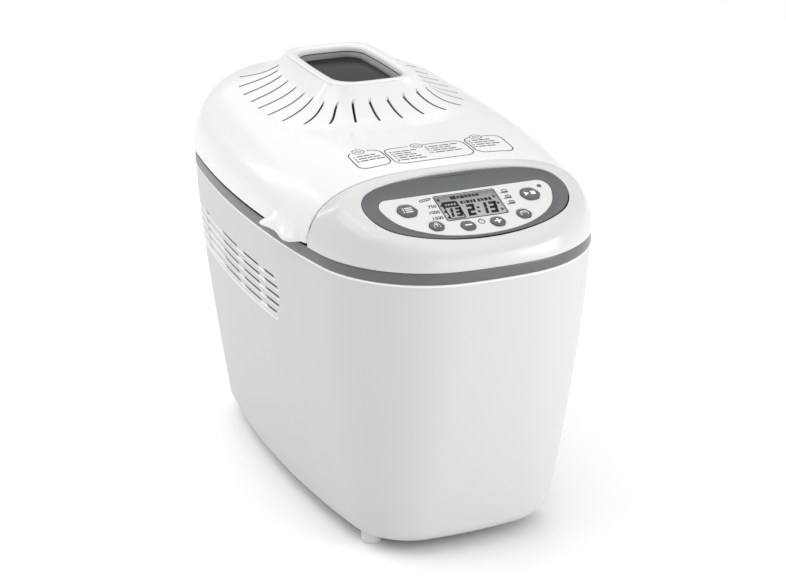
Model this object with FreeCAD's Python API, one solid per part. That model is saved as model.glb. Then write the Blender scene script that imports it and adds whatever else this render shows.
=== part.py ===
import FreeCAD, Part
import os, math

# Bread machine, free-standing, long loaf pan with two kneading paddles.
# Millimetres. +Z up, -Y is the control end, +Y the hinge end, X across.
# Origin: middle of the footprint, on the surface the feet stand on.

# ---------------------------------------------------------------- dimensions
HALF_W = 122.9          # half width at the trim band
HALF_D = 207.0          # half depth at the trim band
R_FRONT = 347.1         # plan radius of the front end
R_BACK = 337.7          # plan radius of the back end
R_SIDE = 855.0          # plan radius of the long sides
Y_SIDE = 23.55          # widest place of the sides
RC_FRONT = 90.5         # plan corner radius, front
RC_BACK = 91.5          # plan corner radius, back
FOOT_H = 6.0
BAND_Z0 = 228.5         # trim band, lower and upper edge
BAND_Z1 = 238.2
TAPER_SIDE = 22.94      # how far the body draws in towards the base
TAPER_FRONT = 31.9
TAPER_BACK = 28.0
TAPER_POW = 1.37
TAPER_RC = -13.09
BASE_R = 13.3           # rounding of the bottom edge
WALL = 2.6              # housing wall
LID_WALL = 2.5
LID_GAP = 1.0           # shadow gap between band and lid
SEAM_Y = -117.0         # seam between lid and control housing
SEAM_GAP = 0.4          # each side of the seam

# crown of lid and control housing
CROWN_SEAM = 47.6
CROWN_C1, CROWN_C2, CROWN_C3 = 14.67, -9.94, 2.414
NOSE_H, NOSE_A, NOSE_N, NOSE_P = 46.0, 30.0, 2.0, 0.714   # rounding of the control end
NOSE_TOP, NOSE_SLOPE, NOSE_M = 45.7, 0.4166, 5.0           # its sloping top
CROWN_A, CROWN_NZ = 104.1, 2.398
CROWN_N, CROWN_NR = 3.07, 4.26

# chimney with the viewing window
CH_Y = 74.5
CH_TOP = 317.0
CH_OPEN = (28.5, 53.0, 15.0)       # half width, half length, corner
GLASS_Z = 303.4
GLASS_T = 4.0

# control panel plane
PAN_Y, PAN_Z, PAN_TILT = -122.0, 280.0, 19.93
BTN_BIG, BTN_SMALL = 7.2, 5.3
BTN_TRAVEL = 1.0
BUTTONS = {
    "menu_button": (-48.7, -33.9, BTN_BIG),
    "start_stop_button": (48.7, -33.9, BTN_BIG),
    "weight_button": (-34.4, -54.4, BTN_SMALL),
    "crust_button": (34.4, -54.4, BTN_SMALL),
    "minus_button": (-11.6, -58.7, BTN_SMALL),
    "plus_button": (11.6, -58.7, BTN_SMALL),
}
LCD = (23.4, -22.8, -50.0)         # half width, upper and lower edge
LED = (59.9, -26.2)

# lid hinge
HINGE_Y, HINGE_Z, HINGE_R, PIN_R = 192.0, 254.0, 6.0, 2.5

# baking chamber and pan
CHY = 37.0                          # middle of chamber and pan along Y
CHAMBER = (80.0, 135.0, 30.0, 54.0, 231.0)   # half x, half y, corner, floor, top
SHEET = 1.2
# dimensions below count from 4 mm above the worktop; each piece is raised by this on saving
LIFT = 4.0
PAN_BOT = (58.0, 112.0, 22.0)
PAN_TOP = (63.0, 117.0, 26.0)
PAN_Z0, PAN_Z1 = 68.0, 195.0
SHAFT_DY = 55.0                     # paddle shafts sit this far from CHY
BAIL_Z, BAIL_R, BAIL_REACH = 198.0, 2.0, 58.0

# drive
MOTOR_Y = -144.0
R_PULLEY, R_MOTOR_PULLEY = 40.0, 9.0

V = FreeCAD.Vector
os.makedirs("parts", exist_ok=True)


# ---------------------------------------------------------------- helpers
def save(name, shape):
    shape = shape.removeSplitter() if hasattr(shape, "removeSplitter") else shape
    n = len(shape.Solids)
    if n == 0 or not shape.isValid():
        print("PROBLEM", name, n, shape.isValid())
    if n == 1:
        shape = shape.Solids[0]
    else:
        shape = Part.makeCompound(shape.Solids)
    placed = shape.copy()
    placed.translate(V(0, 0, LIFT))
    placed.exportStep("parts/%s.step" % name)
    b = placed.BoundBox
    print("%-22s solids %d vol %9.0f  x %.1f %.1f y %.1f %.1f z %.1f %.1f" % (
        name, n, shape.Volume, b.XMin, b.XMax, b.YMin, b.YMax, b.ZMin, b.ZMax))
    return shape


def cyl(r, z0, z1, x=0.0, y=0.0):
    return Part.makeCylinder(r, z1 - z0, V(x, y, z0))


def cyl_dir(r, p0, p1):
    a, b = V(*p0), V(*p1)
    return Part.makeCylinder(r, (b - a).Length, a, b - a)


def box(x0, x1, y0, y1, z0, z1):
    return Part.makeBox(x1 - x0, y1 - y0, z1 - z0, V(x0, y0, z0))


def fuse(*shapes):
    s = shapes[0]
    for t in shapes[1:]:
        s = s.fuse(t)
    return s


def cut(s, *tools):
    for t in tools:
        s = s.cut(t)
    return s


def arc(c, r, t0, t1, z):
    p = [V(c[0] + r * math.cos(t), c[1] + r * math.sin(t), z)
         for t in (t0, (t0 + t1) / 2.0, t1)]
    return Part.Arc(*p).toShape()


def corner_centre(A, B, Rend, Rs, rc, sgn):
    c1 = (A - Rs, Y_SIDE)
    c2 = (0.0, sgn * (B - Rend))
    r1, r2 = Rs - rc, Rend - rc
    dx, dy = c2[0] - c1[0], c2[1] - c1[1]
    L = math.hypot(dx, dy)
    a = (r1 * r1 - r2 * r2 + L * L) / (2 * L)
    h = math.sqrt(max(r1 * r1 - a * a, 0.0))
    m = (c1[0] + dx / L * a, c1[1] + dy / L * a)
    p1 = (m[0] - dy / L * h, m[1] + dx / L * h)
    p2 = (m[0] + dy / L * h, m[1] - dx / L * h)
    q = p1 if p1[1] * sgn > p2[1] * sgn else p2
    return q, c1, c2


def outline_data(A, B, Rf, Rb, Rs, rcf, rcb):
    qb, c1, cb = corner_centre(A, B, Rb, Rs, rcb, 1)
    qf, _, cf = corner_centre(A, B, Rf, Rs, rcf, -1)
    at = lambda p, c: math.atan2(p[1] - c[1], p[0] - c[0])
    return dict(qf=qf, qb=qb, c1=c1, cf=cf, cb=cb, Rf=Rf, Rb=Rb, Rs=Rs, rcf=rcf,
                rcb=rcb, a0=at(qf, c1), a1=at(qb, c1), b1=at(qb, cb), g1=at(qf, cf))


def plan_wire(A, B, Rf, Rb, Rs, rcf, rcb, z, yc=0.0):
    """Closed outline of eight arcs, all tangent."""
    o = outline_data(A, B, Rf, Rb, Rs, rcf, rcb)
    sh = lambda c: (c[0], c[1] + yc)
    mi = lambda c: (-c[0], c[1] + yc)
    P = math.pi
    e = [arc(sh(o["cf"]), o["Rf"], -P - o["g1"], o["g1"], z),
         arc(sh(o["qf"]), o["rcf"], o["g1"], o["a0"], z),
         arc(sh(o["c1"]), o["Rs"], o["a0"], o["a1"], z),
         arc(sh(o["qb"]), o["rcb"], o["a1"], o["b1"], z),
         arc(sh(o["cb"]), o["Rb"], o["b1"], P - o["b1"], z),
         arc(mi(o["qb"]), o["rcb"], P - o["b1"], P - o["a1"], z),
         arc(mi(o["c1"]), o["Rs"], P - o["a1"], P - o["a0"], z),
         arc(mi(o["qf"]), o["rcf"], P - o["a0"], P - o["g1"], z)]
    return Part.Wire(e)


def band_wire(d, z):
    return plan_wire(HALF_W - d, HALF_D - d, R_FRONT - d, R_BACK - d, R_SIDE - d,
                     RC_FRONT - d, RC_BACK - d, z)


def prism(wire, h):
    return Part.Face(wire).extrude(V(0, 0, h))


def band_prism(d, z0, z1):
    return prism(band_wire(d, z0), z1 - z0)


def body_wire(k, z, t=0.0, w=0.0):
    """Body section: k is 0 at the band and 1 where the bottom rounding starts."""
    q = k ** TAPER_POW
    d = 1.0 + TAPER_SIDE * q + t + w
    df = 1.0 + TAPER_FRONT * q + t + w
    db = 1.0 + TAPER_BACK * q + t + w
    B = HALF_D - (df + db) / 2.0
    return plan_wire(HALF_W - d, B, R_FRONT - d, R_BACK - d, R_SIDE - d,
                     RC_FRONT - d + k * TAPER_RC, RC_BACK - d + k * TAPER_RC,
                     z, (df - db) / 2.0)


def body_solid(t=0.0, z_top=BAND_Z0, z_extra=0.0):
    zr = FOOT_H + BASE_R
    ks = [0.0, 0.2, 0.4, 0.6, 0.8, 1.0]
    wires = [body_wire(k, z_top + (zr - z_top) * k, t) for k in ks]
    s = Part.makeLoft(wires, True, False)
    r = BASE_R - t
    low = []
    for a in (0.0, 30.0, 60.0, 90.0):
        a = math.radians(a)
        low.append(body_wire(1.0, zr - r * math.sin(a), t, r * (1 - math.cos(a))))
    s = s.fuse(Part.makeLoft(low, True, True))
    if z_extra > 0:
        s = s.fuse(prism(body_wire(0.0, z_top, t), z_extra))
    return s


def rrect(hx, hy, r, z, cx=0.0, cy=0.0):
    """Rounded rectangle wire at height z."""
    P = math.pi
    x, y = hx - r, hy - r
    e = []
    cs = [(cx + x, cy + y, 0), (cx - x, cy + y, P / 2), (cx - x, cy - y, P),
          (cx + x, cy - y, 1.5 * P)]
    pts = []
    for (a, b, t) in cs:
        pts.append((V(a + r * math.cos(t), b + r * math.sin(t), z),
                    V(a + r * math.cos(t + P / 4), b + r * math.sin(t + P / 4), z),
                    V(a + r * math.cos(t + P / 2), b + r * math.sin(t + P / 2), z)))
    for i, p in enumerate(pts):
        e.append(Part.Arc(*p).toShape())
        n = pts[(i + 1) % 4][0]
        if (n - p[2]).Length > 1e-6:
            e.append(Part.LineSegment(p[2], n).toShape())
    return Part.Wire(e)


def rblock(hx, hy, r, z0, z1, cx=0.0, cy=0.0):
    return prism(rrect(hx, hy, r, z0, cx, cy), z1 - z0)


def rtub(hx, hy, r, t, z0, z1, cx=0.0, cy=0.0):
    return rblock(hx, hy, r, z0, z1, cx, cy).cut(
        rblock(hx - t, hy - t, max(r - t, 0.5), z0 - 1, z1 + 1, cx, cy))


# ---------------------------------------------------------------- crown surface
BANDO = outline_data(HALF_W, HALF_D, R_FRONT, R_BACK, R_SIDE, RC_FRONT, RC_BACK)


def inset(x, y):
    """Distance inwards from the band outline at plan point x, y."""
    o = BANDO
    x = abs(x)
    best = R_SIDE - math.hypot(x - o["c1"][0], y - o["c1"][1])
    for q, r, c in ((o["qf"], RC_FRONT, o["cf"]), (o["qb"], RC_BACK, o["cb"])):
        s = -1 if c is o["cf"] else 1
        R = R_FRONT if s < 0 else R_BACK
        t_end = R - math.hypot(x - c[0], y - c[1]) if (y - c[1]) * s > 0 else 1e9
        vx, vy = x - q[0], (y - q[1])
        ta = math.atan2(vy, vx)
        lo, hi = (o["g1"], o["a0"]) if s < 0 else (o["a1"], o["b1"])
        if lo <= ta <= hi:
            return r - math.hypot(vx, vy)
        best = min(best, t_end)
    return best


def crown_h(y):
    s = max(y - SEAM_Y, 0.0) / 100.0
    return CROWN_SEAM + CROWN_C1 * s + CROWN_C2 * s * s + CROWN_C3 * s ** 3


def crown_n(y):
    return CROWN_N + (CROWN_NR - CROWN_N) * min(max((y - SEAM_Y) / 250.0, 0.0), 1.0)


def crown_z(x, y, t=0.0):
    d = max(inset(x, y) - t, 0.0)
    u = min(max(1.0 - d / CROWN_A, 0.0), 1.0)
    h = crown_h(y) * (1.0 - u ** crown_n(y)) ** (1.0 / CROWN_NZ)
    if y < SEAM_Y and h > 0.0:
        # control end: steep rounded sides under a top that slopes with the panel
        s = min((SEAM_Y - y) / 25.0, 1.0)
        s = s * s * (3.0 - 2.0 * s)
        side = NOSE_H * (1.0 - (1.0 - min(d / NOSE_A, 1.0)) ** NOSE_N) ** NOSE_P
        p = h * (1.0 - s) + side * s
        top = NOSE_TOP + NOSE_SLOPE * (y - PAN_Y)
        both = (p ** -NOSE_M + top ** -NOSE_M) ** (-1.0 / NOSE_M)
        h = p * (1.0 - s) + both * s
    return BAND_Z1 + h - t


def half_width(y, d):
    """Half width of the band outline, drawn in by d, at station y."""
    lo, hi = 0.0, HALF_W + 5.0
    if inset(0.0, y) < d:
        return 0.0
    for _ in range(60):
        m = (lo + hi) / 2
        if inset(m, y) > d:
            lo = m
        else:
            hi = m
    return lo


def crown_solid(ys, t, z_low):
    """Solid under the crown surface, between the first and last station."""
    wires = []
    for y in ys:
        X = half_width(y, t)
        n = 13
        # stations close up towards the foot of the wall, where it is steep
        half = [X * (1.0 - (i / n) ** 2.4) for i in range(n)]
        xs = [-x for x in half] + [0.0] + half[::-1]
        pts = [V(x, y, crown_z(x, y, t)) for x in xs]
        pts[0].z = pts[-1].z = BAND_Z1 - t
        c = Part.BSplineCurve()
        c.interpolate(pts)
        a, b = V(-X, y, z_low), V(X, y, z_low)
        e = [c.toShape()]
        if abs(pts[0].z - z_low) > 1e-6:
            e += [Part.LineSegment(pts[-1], b).toShape(), Part.LineSegment(b, a).toShape(),
                  Part.LineSegment(a, pts[0]).toShape()]
        else:
            e += [Part.LineSegment(b, a).toShape()]
        wires.append(Part.Wire(e))
    return Part.makeLoft(wires, True, True)


def panel_vec(u, v, w=0.0):
    t = math.radians(PAN_TILT)
    return V(u, PAN_Y + v * math.cos(t) - w * math.sin(t),
             PAN_Z + v * math.sin(t) + w * math.cos(t))


PN = panel_vec(0, 0, 1) - panel_vec(0, 0, 0)


def panel_extrude(wire, h):
    return Part.Face(wire).extrude(PN * h)


def panel_cyl(r, u, v, w0, w1):
    return Part.makeCylinder(r, w1 - w0, panel_vec(u, v, w0), PN)


def panel_box(u0, u1, v0, v1, w0, w1):
    p = [panel_vec(u0, v0, w0), panel_vec(u1, v0, w0), panel_vec(u1, v1, w0),
         panel_vec(u0, v1, w0)]
    return panel_extrude(Part.makePolygon(p + [p[0]]), w1 - w0)


FASCIA_PTS = [(59.0, -18.7), (64.6, -20.6), (67.6, -26.0), (66.6, -34.5), (62.8, -43.6),
              (54.5, -53.2), (38.0, -63.0), (20.0, -68.0), (0.0, -69.6)]
BEZEL_PTS = [(0.0, -1.2), (22.0, -1.6), (51.0, -4.6), (67.5, -8.4), (77.2, -16.2),
             (80.4, -28.0), (77.2, -43.0), (67.5, -55.8), (50.0, -65.2), (30.0, -70.8),
             (12.0, -73.3), (0.0, -73.7)]
VC = -42.0


def shrink(pts, d):
    """Pull a half outline in towards its middle by about d."""
    out = []
    for (u, v) in pts:
        L = math.hypot(u, v - VC)
        k = (L - d) / L
        out.append((u * k, VC + (v - VC) * k))
    return out


def fascia_wire(d, w):
    P = shrink(FASCIA_PTS, d)
    P[0] = (P[0][0], FASCIA_PTS[0][1] - d)
    r = [panel_vec(u, v, w) for (u, v) in P]
    l = [panel_vec(-u, v, w) for (u, v) in P[-2::-1]]
    c = Part.BSplineCurve()
    c.interpolate(r + l)
    return Part.Wire([c.toShape(), Part.LineSegment(l[-1], r[0]).toShape()])


def bezel_wire(d, w):
    P = shrink(BEZEL_PTS, d)
    r = [panel_vec(u, v, w) for (u, v) in P]
    l = [panel_vec(-u, v, w) for (u, v) in P[-2:0:-1]]
    c = Part.BSplineCurve()
    c.interpolate(r + l, PeriodicFlag=True)
    return Part.Wire([c.toShape()])


def hexish(r, u, v, w):
    """Pebble key outline: rounded hexagon."""
    pts = []
    for i in range(24):
        a = 2 * math.pi * i / 24
        k = r * (1.0 + 0.035 * math.cos(6 * a))
        pts.append(panel_vec(u + k * math.cos(a), v + k * math.sin(a), w))
    c = Part.BSplineCurve()
    c.interpolate(pts, PeriodicFlag=True)
    return Part.Wire([c.toShape()])


def belt_loop(y0, r0, y1, r1, z0, z1, t):
    """Flat belt round two wheels on the centre line, inner face at r0 and r1."""
    def hull(ra, rb):
        L = y1 - y0
        a = math.asin((ra - rb) / L)
        # tangent points; wheel a at y0 and wheel b at y1
        n = V(math.cos(a), math.sin(a), 0)
        pa, pb = V(ra * n.x, y0 + ra * n.y, z0), V(rb * n.x, y1 + rb * n.y, z0)
        qa, qb = V(-ra * n.x, y0 + ra * n.y, z0), V(-rb * n.x, y1 + rb * n.y, z0)
        w = Part.Wire([Part.LineSegment(pa, pb).toShape(),
                       Part.Arc(pb, V(0, y1 + rb, z0), qb).toShape(),
                       Part.LineSegment(qb, qa).toShape(),
                       Part.Arc(qa, V(0, y0 - ra, z0), pa).toShape()])
        return prism(w, z1 - z0)
    return hull(r0 + t, r1 + t).cut(hull(r0, r1))


Y1, Y2 = CHY - SHAFT_DY, CHY + SHAFT_DY
FEET = [(-65, -129), (65, -129), (-65, 128), (65, 128)]
POSTS = [(-60, -92), (60, -92), (-60, 118), (60, 118)]

# ---------------------------------------------------------------- body housing
inner = body_solid(WALL, BAND_Z0, 3.0)
housing = body_solid().cut(inner)
bottom_open = body_wire(1.0, FOOT_H - 1, 0.0, BASE_R + 3.0)
housing = housing.cut(prism(bottom_open, 6.0))
ROW_Z = [194.7, 187.2, 179.7, 172.1, 164.6]
ROW_ENDS = [([-55.0, -60.0, -61.4, -59.6, -52.5], [-39.0, -38.5, -38.0, -37.0, -36.5]),
            ([-27.8, -27.6, -26.9, -26.2, -25.4], [3.6, 4.8, 5.9, 7.3, 7.7]),
            ([17.8, 17.9, 18.3, 19.3, 19.5], [54.1, 54.7, 55.6, 56.0, 57.3]),
            ([98.0, 99.0, 100.0, 100.6, 101.0], [112.0] * 5)]
for sx in (-1, 1):
    for i in range(5):
        for (ya, yb) in ROW_ENDS:
            s = box(88, 130, ya[i], yb[i], ROW_Z[i] - 0.45, ROW_Z[i] + 0.85)
            if sx < 0:
                s = s.mirror(V(0, 0, 0), V(1, 0, 0))
            housing = housing.cut(s)
GLAND = (-46.0, 41.0)
housing = housing.cut(cyl_dir(7.06, (GLAND[0], 150, GLAND[1]), (GLAND[0], 200, GLAND[1])))
save("body_housing", housing)

# base plate drops into the bottom opening from inside
plate = prism(body_wire(1.0, FOOT_H, 0.0, BASE_R + 3.4), WALL)
flange = prism(body_wire(1.0, FOOT_H + WALL, 0.0, BASE_R + 0.6), 2.4)
base_plate = plate.fuse(flange)
ZB = FOOT_H + WALL + 2.4
for (x, y) in POSTS:
    base_plate = base_plate.fuse(cyl(6.0, ZB - 1, 36.0, x, y))
for (x, y) in POSTS:
    base_plate = cut(base_plate, cyl(4.2, FOOT_H - 1, 8.2, x, y), cyl(1.66, FOOT_H, 24.0, x, y))
for (x, y) in FEET:
    base_plate = cut(base_plate, cyl(2.6, FOOT_H - 1, ZB + 1, x, y), cyl(3.8, 9.0, ZB + 1, x, y))
for i in range(7):
    base_plate = base_plate.cut(rblock(1.6, 24, 1.5, FOOT_H - 1, ZB + 1, -30 + 10 * i, 60))
save("base_plate", base_plate)

feet = []
for (x, y) in FEET:
    xp = x + (2 if x > 0 else -2)
    f = fuse(cyl(8.0, -LIFT + 0.9, FOOT_H - 0.05, xp, y), Part.makeCone(7.1, 8.0, 0.9, V(xp, y, -LIFT)),
             cyl(2.5, FOOT_H - 0.5, 9.4, x, y), cyl(3.5, 9.1, ZB - 0.3, x, y))
    feet.append(f.removeSplitter())
save("rubber_feet", Part.makeCompound(feet))

scr = []
for (x, y) in POSTS:
    s = cyl(3.6, 6.4, 8.2, x, y).fuse(cyl(1.6, 8.2, 22.0, x, y))
    s = s.cut(box(x - 2.2, x + 2.2, y - 0.5, y + 0.5, 6.0, 7.3)).cut(
        box(x - 0.5, x + 0.5, y - 2.2, y + 2.2, 6.0, 7.3))
    scr.append(s)
save("base_screws", Part.makeCompound(scr))

gx, gz = GLAND
gland = fuse(cyl_dir(7.0, (gx, 167, gz), (gx, 186, gz)),
             cyl_dir(9.5, (gx, 184, gz), (gx, 186, gz)),
             cyl_dir(9.5, (gx, 167, gz), (gx, 170.5, gz)))
gland = gland.cut(cyl_dir(3.6, (gx, 160, gz), (gx, 190, gz)))
save("cord_gland", gland)

# ---------------------------------------------------------------- band and deck
band = band_prism(0.0, BAND_Z0, BAND_Z1).cut(band_prism(4.0, BAND_Z0 - 1, BAND_Z1 + 1))
ledge = band_prism(2.0, BAND_Z0, 231.0).cut(band_prism(10.0, BAND_Z0 - 1, 232.0))
save("trim_band", band.fuse(ledge))

hx, hy, rc, zf, zt = CHAMBER
deck = band_prism(4.3, 231.0, 233.5)
deck = deck.cut(rblock(hx - SHEET, hy - SHEET, rc - SHEET, 230, 235, 0, CHY))
deck = deck.cut(rblock(58, 22, 8, 230, 235, 0, -148))
lip = rtub(hx + 2.4, hy + 2.4, rc + 2.4, 3.6, 233.5, 236.0, 0, CHY)
save("top_deck", deck.fuse(lip))

# ---------------------------------------------------------------- baking chamber
chamber = rblock(hx, hy, rc, zf, zt - 1.2, 0, CHY).cut(
    rblock(hx - SHEET, hy - SHEET, rc - SHEET, zf + SHEET, zt + 1, 0, CHY))
fl = rblock(hx + 8, hy + 8, rc + 8, zt - 1.2, zt, 0, CHY).cut(
    rblock(hx - SHEET, hy - SHEET, rc - SHEET, zt - 3, zt + 1, 0, CHY))
chamber = chamber.fuse(fl)
for y in (Y1, Y2):
    chamber = chamber.cut(cyl(9.0, zf - 1, zf + 3, 0, y))
EL_Z, EL_R, EL_X, EL_DY, EL_GAP = 74.0, 3.5, 70.0, 124.0, 16.0
for x in (-EL_GAP, EL_GAP):
    chamber = chamber.cut(cyl_dir(5.0, (x, CHY - hy - 5, EL_Z), (x, CHY - hy + 5, EL_Z)))
PROBE = (-50.0, 112.0)
chamber = chamber.cut(cyl_dir(3.1, (-hx - 3, PROBE[0], PROBE[1]), (-hx + 5, PROBE[0], PROBE[1])))
save("baking_chamber", chamber)

# sheathed heating element: one open loop with both ends through the front wall
r = 26.0
yf, yb = CHY - EL_DY, CHY + EL_DY
P = math.pi
q = 9.0


def pv(x, y):
    return V(x, y, EL_Z)


e = []
s2 = math.sqrt(0.5)
e.append(Part.LineSegment(pv(EL_GAP, CHY - hy - 13), pv(EL_GAP, yf - q)).toShape())
e.append(Part.Arc(pv(EL_GAP, yf - q), pv(EL_GAP + q - q * s2, yf - q + q * s2), pv(EL_GAP + q, yf)).toShape())
e.append(Part.LineSegment(pv(EL_GAP + q, yf), pv(EL_X - r, yf)).toShape())
e.append(Part.Arc(pv(EL_X - r, yf), pv(EL_X - r + r * s2, yf + r - r * s2), pv(EL_X, yf + r)).toShape())
e.append(Part.LineSegment(pv(EL_X, yf + r), pv(EL_X, yb - r)).toShape())
e.append(Part.Arc(pv(EL_X, yb - r), pv(EL_X - r + r * s2, yb - r + r * s2), pv(EL_X - r, yb)).toShape())
e.append(Part.LineSegment(pv(EL_X - r, yb), pv(-EL_X + r, yb)).toShape())
e.append(Part.Arc(pv(-EL_X + r, yb), pv(-EL_X + r - r * s2, yb - r + r * s2), pv(-EL_X, yb - r)).toShape())
e.append(Part.LineSegment(pv(-EL_X, yb - r), pv(-EL_X, yf + r)).toShape())
e.append(Part.Arc(pv(-EL_X, yf + r), pv(-EL_X + r - r * s2, yf + r - r * s2), pv(-EL_X + r, yf)).toShape())
e.append(Part.LineSegment(pv(-EL_X + r, yf), pv(-EL_GAP - q, yf)).toShape())
e.append(Part.Arc(pv(-EL_GAP - q, yf), pv(-EL_GAP - q + q * s2, yf - q + q * s2), pv(-EL_GAP, yf - q)).toShape())
e.append(Part.LineSegment(pv(-EL_GAP, yf - q), pv(-EL_GAP, CHY - hy - 13)).toShape())
path = Part.Wire(e)
prof = Part.Wire([Part.Circle(pv(EL_GAP, CHY - hy - 13), V(0, 1, 0), EL_R).toShape()])
element = path.makePipeShell([prof], True, False)
save("heating_element", element)

ins = []
for x in (-EL_GAP, EL_GAP):
    a = fuse(cyl_dir(4.95, (x, CHY - hy - 9, EL_Z), (x, CHY - hy + 1.2, EL_Z)),
             cyl_dir(7.5, (x, CHY - hy - 5, EL_Z), (x, CHY - hy, EL_Z)))
    ins.append(a.cut(cyl_dir(3.56, (x, CHY - hy - 12, EL_Z), (x, CHY - hy + 6, EL_Z))).removeSplitter())
save("element_insulators", Part.makeCompound(ins))

clips = [box(-5, 5, yb - 5, CHY + hy - SHEET, EL_Z - 5, EL_Z + 5).cut(
    cyl_dir(3.56, (-8, yb, EL_Z), (8, yb, EL_Z)))]
for sx in (-1, 1):
    c = box(EL_X - 5, hx - SHEET, CHY - 5, CHY + 5, EL_Z - 5, EL_Z + 5).cut(
        cyl_dir(3.56, (EL_X, CHY - 8, EL_Z), (EL_X, CHY + 8, EL_Z)))
    clips.append(c if sx > 0 else c.mirror(V(0, 0, 0), V(1, 0, 0)))
save("element_clips", Part.makeCompound(clips))

probe = fuse(cyl_dir(3.0, (-hx - 8, PROBE[0], PROBE[1]), (-hx + 12, PROBE[0], PROBE[1])),
             cyl_dir(6.0, (-hx - 3, PROBE[0], PROBE[1]), (-hx, PROBE[0], PROBE[1])))
save("temperature_probe", probe)

seat = rtub(44, 95, 26, 4, zf + SHEET, 66.0, 0, CHY)
save("pan_seat", seat)

sp = [cyl(4.0, 38.0, zf, x, y) for (x, y) in
      ((-58, CHY - 100), (58, CHY - 100), (-58, CHY + 100), (58, CHY + 100))]
save("chamber_spacers", Part.makeCompound(sp))

# ---------------------------------------------------------------- bread pan
po = Part.makeLoft([rrect(*PAN_BOT, PAN_Z0, 0, CHY), rrect(*PAN_TOP, PAN_Z1, 0, CHY)], True, True)
pi_ = Part.makeLoft([rrect(PAN_BOT[0] - 1.4, PAN_BOT[1] - 1.4, PAN_BOT[2] - 1.4, PAN_Z0 + 1.5, 0, CHY),
                     rrect(PAN_TOP[0] - 1.4, PAN_TOP[1] - 1.4, PAN_TOP[2] - 1.4, PAN_Z1 + 1, 0, CHY)], True, True)
rim = rblock(PAN_TOP[0] + 3.2, PAN_TOP[1] + 3.2, PAN_TOP[2] + 3.2, PAN_Z1 - 2.2, PAN_Z1, 0, CHY)
pan = po.fuse(rim)
LUG_Y = PAN_TOP[1] + 2.0
for s in (-1, 1):
    lug = box(-9, 9, -1.1, 1.1, 178, 199).fuse(cyl_dir(9.0, (0, -1.1, 199), (0, 1.1, 199)))
    lug.translate(V(0, CHY + s * LUG_Y, 0))
    pan = pan.fuse(lug)
pan = pan.cut(pi_)
for s in (-1, 1):
    y = CHY + s * LUG_Y
    pan = pan.cut(cyl_dir(BAIL_R + 0.06, (0, y - 4, BAIL_Z), (0, y + 4, BAIL_Z)))
for y in (Y1, Y2):
    pan = pan.cut(cyl(7.06, PAN_Z0 - 1, PAN_Z0 + 3, 0, y))
save("bread_pan", pan)

foot = rtub(39.4, 90.4, 21.4, 3, 58.0, PAN_Z0, 0, CHY)
save("pan_foot_ring", foot)

bush = []
for y in (Y1, Y2):
    b = fuse(cyl(7.0, 67.0, 76.0, 0, y), cyl(10.0, 67.0, PAN_Z0, 0, y), cyl(9.5, PAN_Z0 + 1.5, 72.5, 0, y))
    bush.append(b.cut(cyl(4.05, 60, 80, 0, y)).removeSplitter())
save("pan_bushes", Part.makeCompound(bush))

BE = PAN_TOP[1] + 9.0
bail = None
for s in (-1, 1):
    y = CHY + s * BE
    yi = CHY + s * (LUG_Y - 4.0)
    part = fuse(cyl_dir(BAIL_R, (0, yi, BAIL_Z), (0, y, BAIL_Z)),
                Part.makeSphere(BAIL_R, V(0, y, BAIL_Z)),
                cyl_dir(BAIL_R, (0, y, BAIL_Z), (BAIL_REACH, y, BAIL_Z)),
                Part.makeSphere(BAIL_R, V(BAIL_REACH, y, BAIL_Z)))
    bail = part if bail is None else bail.fuse(part)
bail = bail.fuse(cyl_dir(BAIL_R, (BAIL_REACH, CHY - BE, BAIL_Z), (BAIL_REACH, CHY + BE, BAIL_Z)))
save("pan_handle", bail)

for (name, y, turn) in (("front", Y1, 0.0), ("rear", Y2, 90.0)):
    c = V(0, y, 0)
    sh = fuse(cyl(4.0, 62.5, 90.0, 0, y), box(-13, 13, y - 2.5, y + 2.5, 62.5, 66.5))
    sh.rotate(c, V(0, 0, 1), turn)
    save("pan_shaft_" + name, sh)
    pd = cyl(8.5, 76.4, 98.0, 0, y)
    pts = [V(0, y - 3.2, 77.2), V(30, y - 3.2, 77.2), V(40, y + 5.0, 77.2), V(41, y + 9.0, 77.2),
           V(36, y + 8.0, 77.2), V(26, y + 3.2, 77.2), V(0, y + 3.2, 77.2)]
    blade = Part.Face(Part.makePolygon(pts + [pts[0]])).extrude(V(0, 0, 18))
    pd = pd.fuse(blade).cut(cyl(4.0, 70, 90.2, 0, y))
    pd.rotate(c, V(0, 0, 1), turn)
    save("kneading_paddle_" + name, pd)

# ---------------------------------------------------------------- drive
chassis = box(-70, 70, -106, 150, 36, 38).fuse(box(-36, 36, -170, -105, 36, 38))
for y in (Y1, Y2):
    chassis = chassis.cut(cyl(14.05, 35, 39, 0, y))
chassis = chassis.cut(cyl(6.0, 35, 39, 0, MOTOR_Y))
for (x, y) in ((-17, MOTOR_Y - 15), (17, MOTOR_Y - 15), (-17, MOTOR_Y + 15), (17, MOTOR_Y + 15)):
    chassis = chassis.cut(cyl(2.1, 35, 39, x, y))
save("chassis_plate", chassis)

bh = []
for y in (Y1, Y2):
    b = fuse(cyl(14.0, 30.0, 48.0, 0, y), cyl(20.0, 38.0, 41.0, 0, y))
    bh.append(b.cut(cyl(4.05, 29, 49, 0, y)).removeSplitter())
save("shaft_bearings", Part.makeCompound(bh))

for (name, y, turn) in (("front", Y1, 0.0), ("rear", Y2, 90.0)):
    c = V(0, y, 0)
    sh = fuse(cyl(4.0, 12.0, 58.0, 0, y), cyl(15.0, 57.0, 60.0, 0, y), cyl(7.0, 50.0, 57.0, 0, y))
    for s in (-1, 1):
        a = math.radians(42.0)
        sh = sh.fuse(cyl(2.5, 59.5, 66.3, s * 10.5 * math.cos(a), y + s * 10.5 * math.sin(a)))
    sh.rotate(c, V(0, 0, 1), turn)
    save("drive_coupling_" + name, sh)


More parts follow.
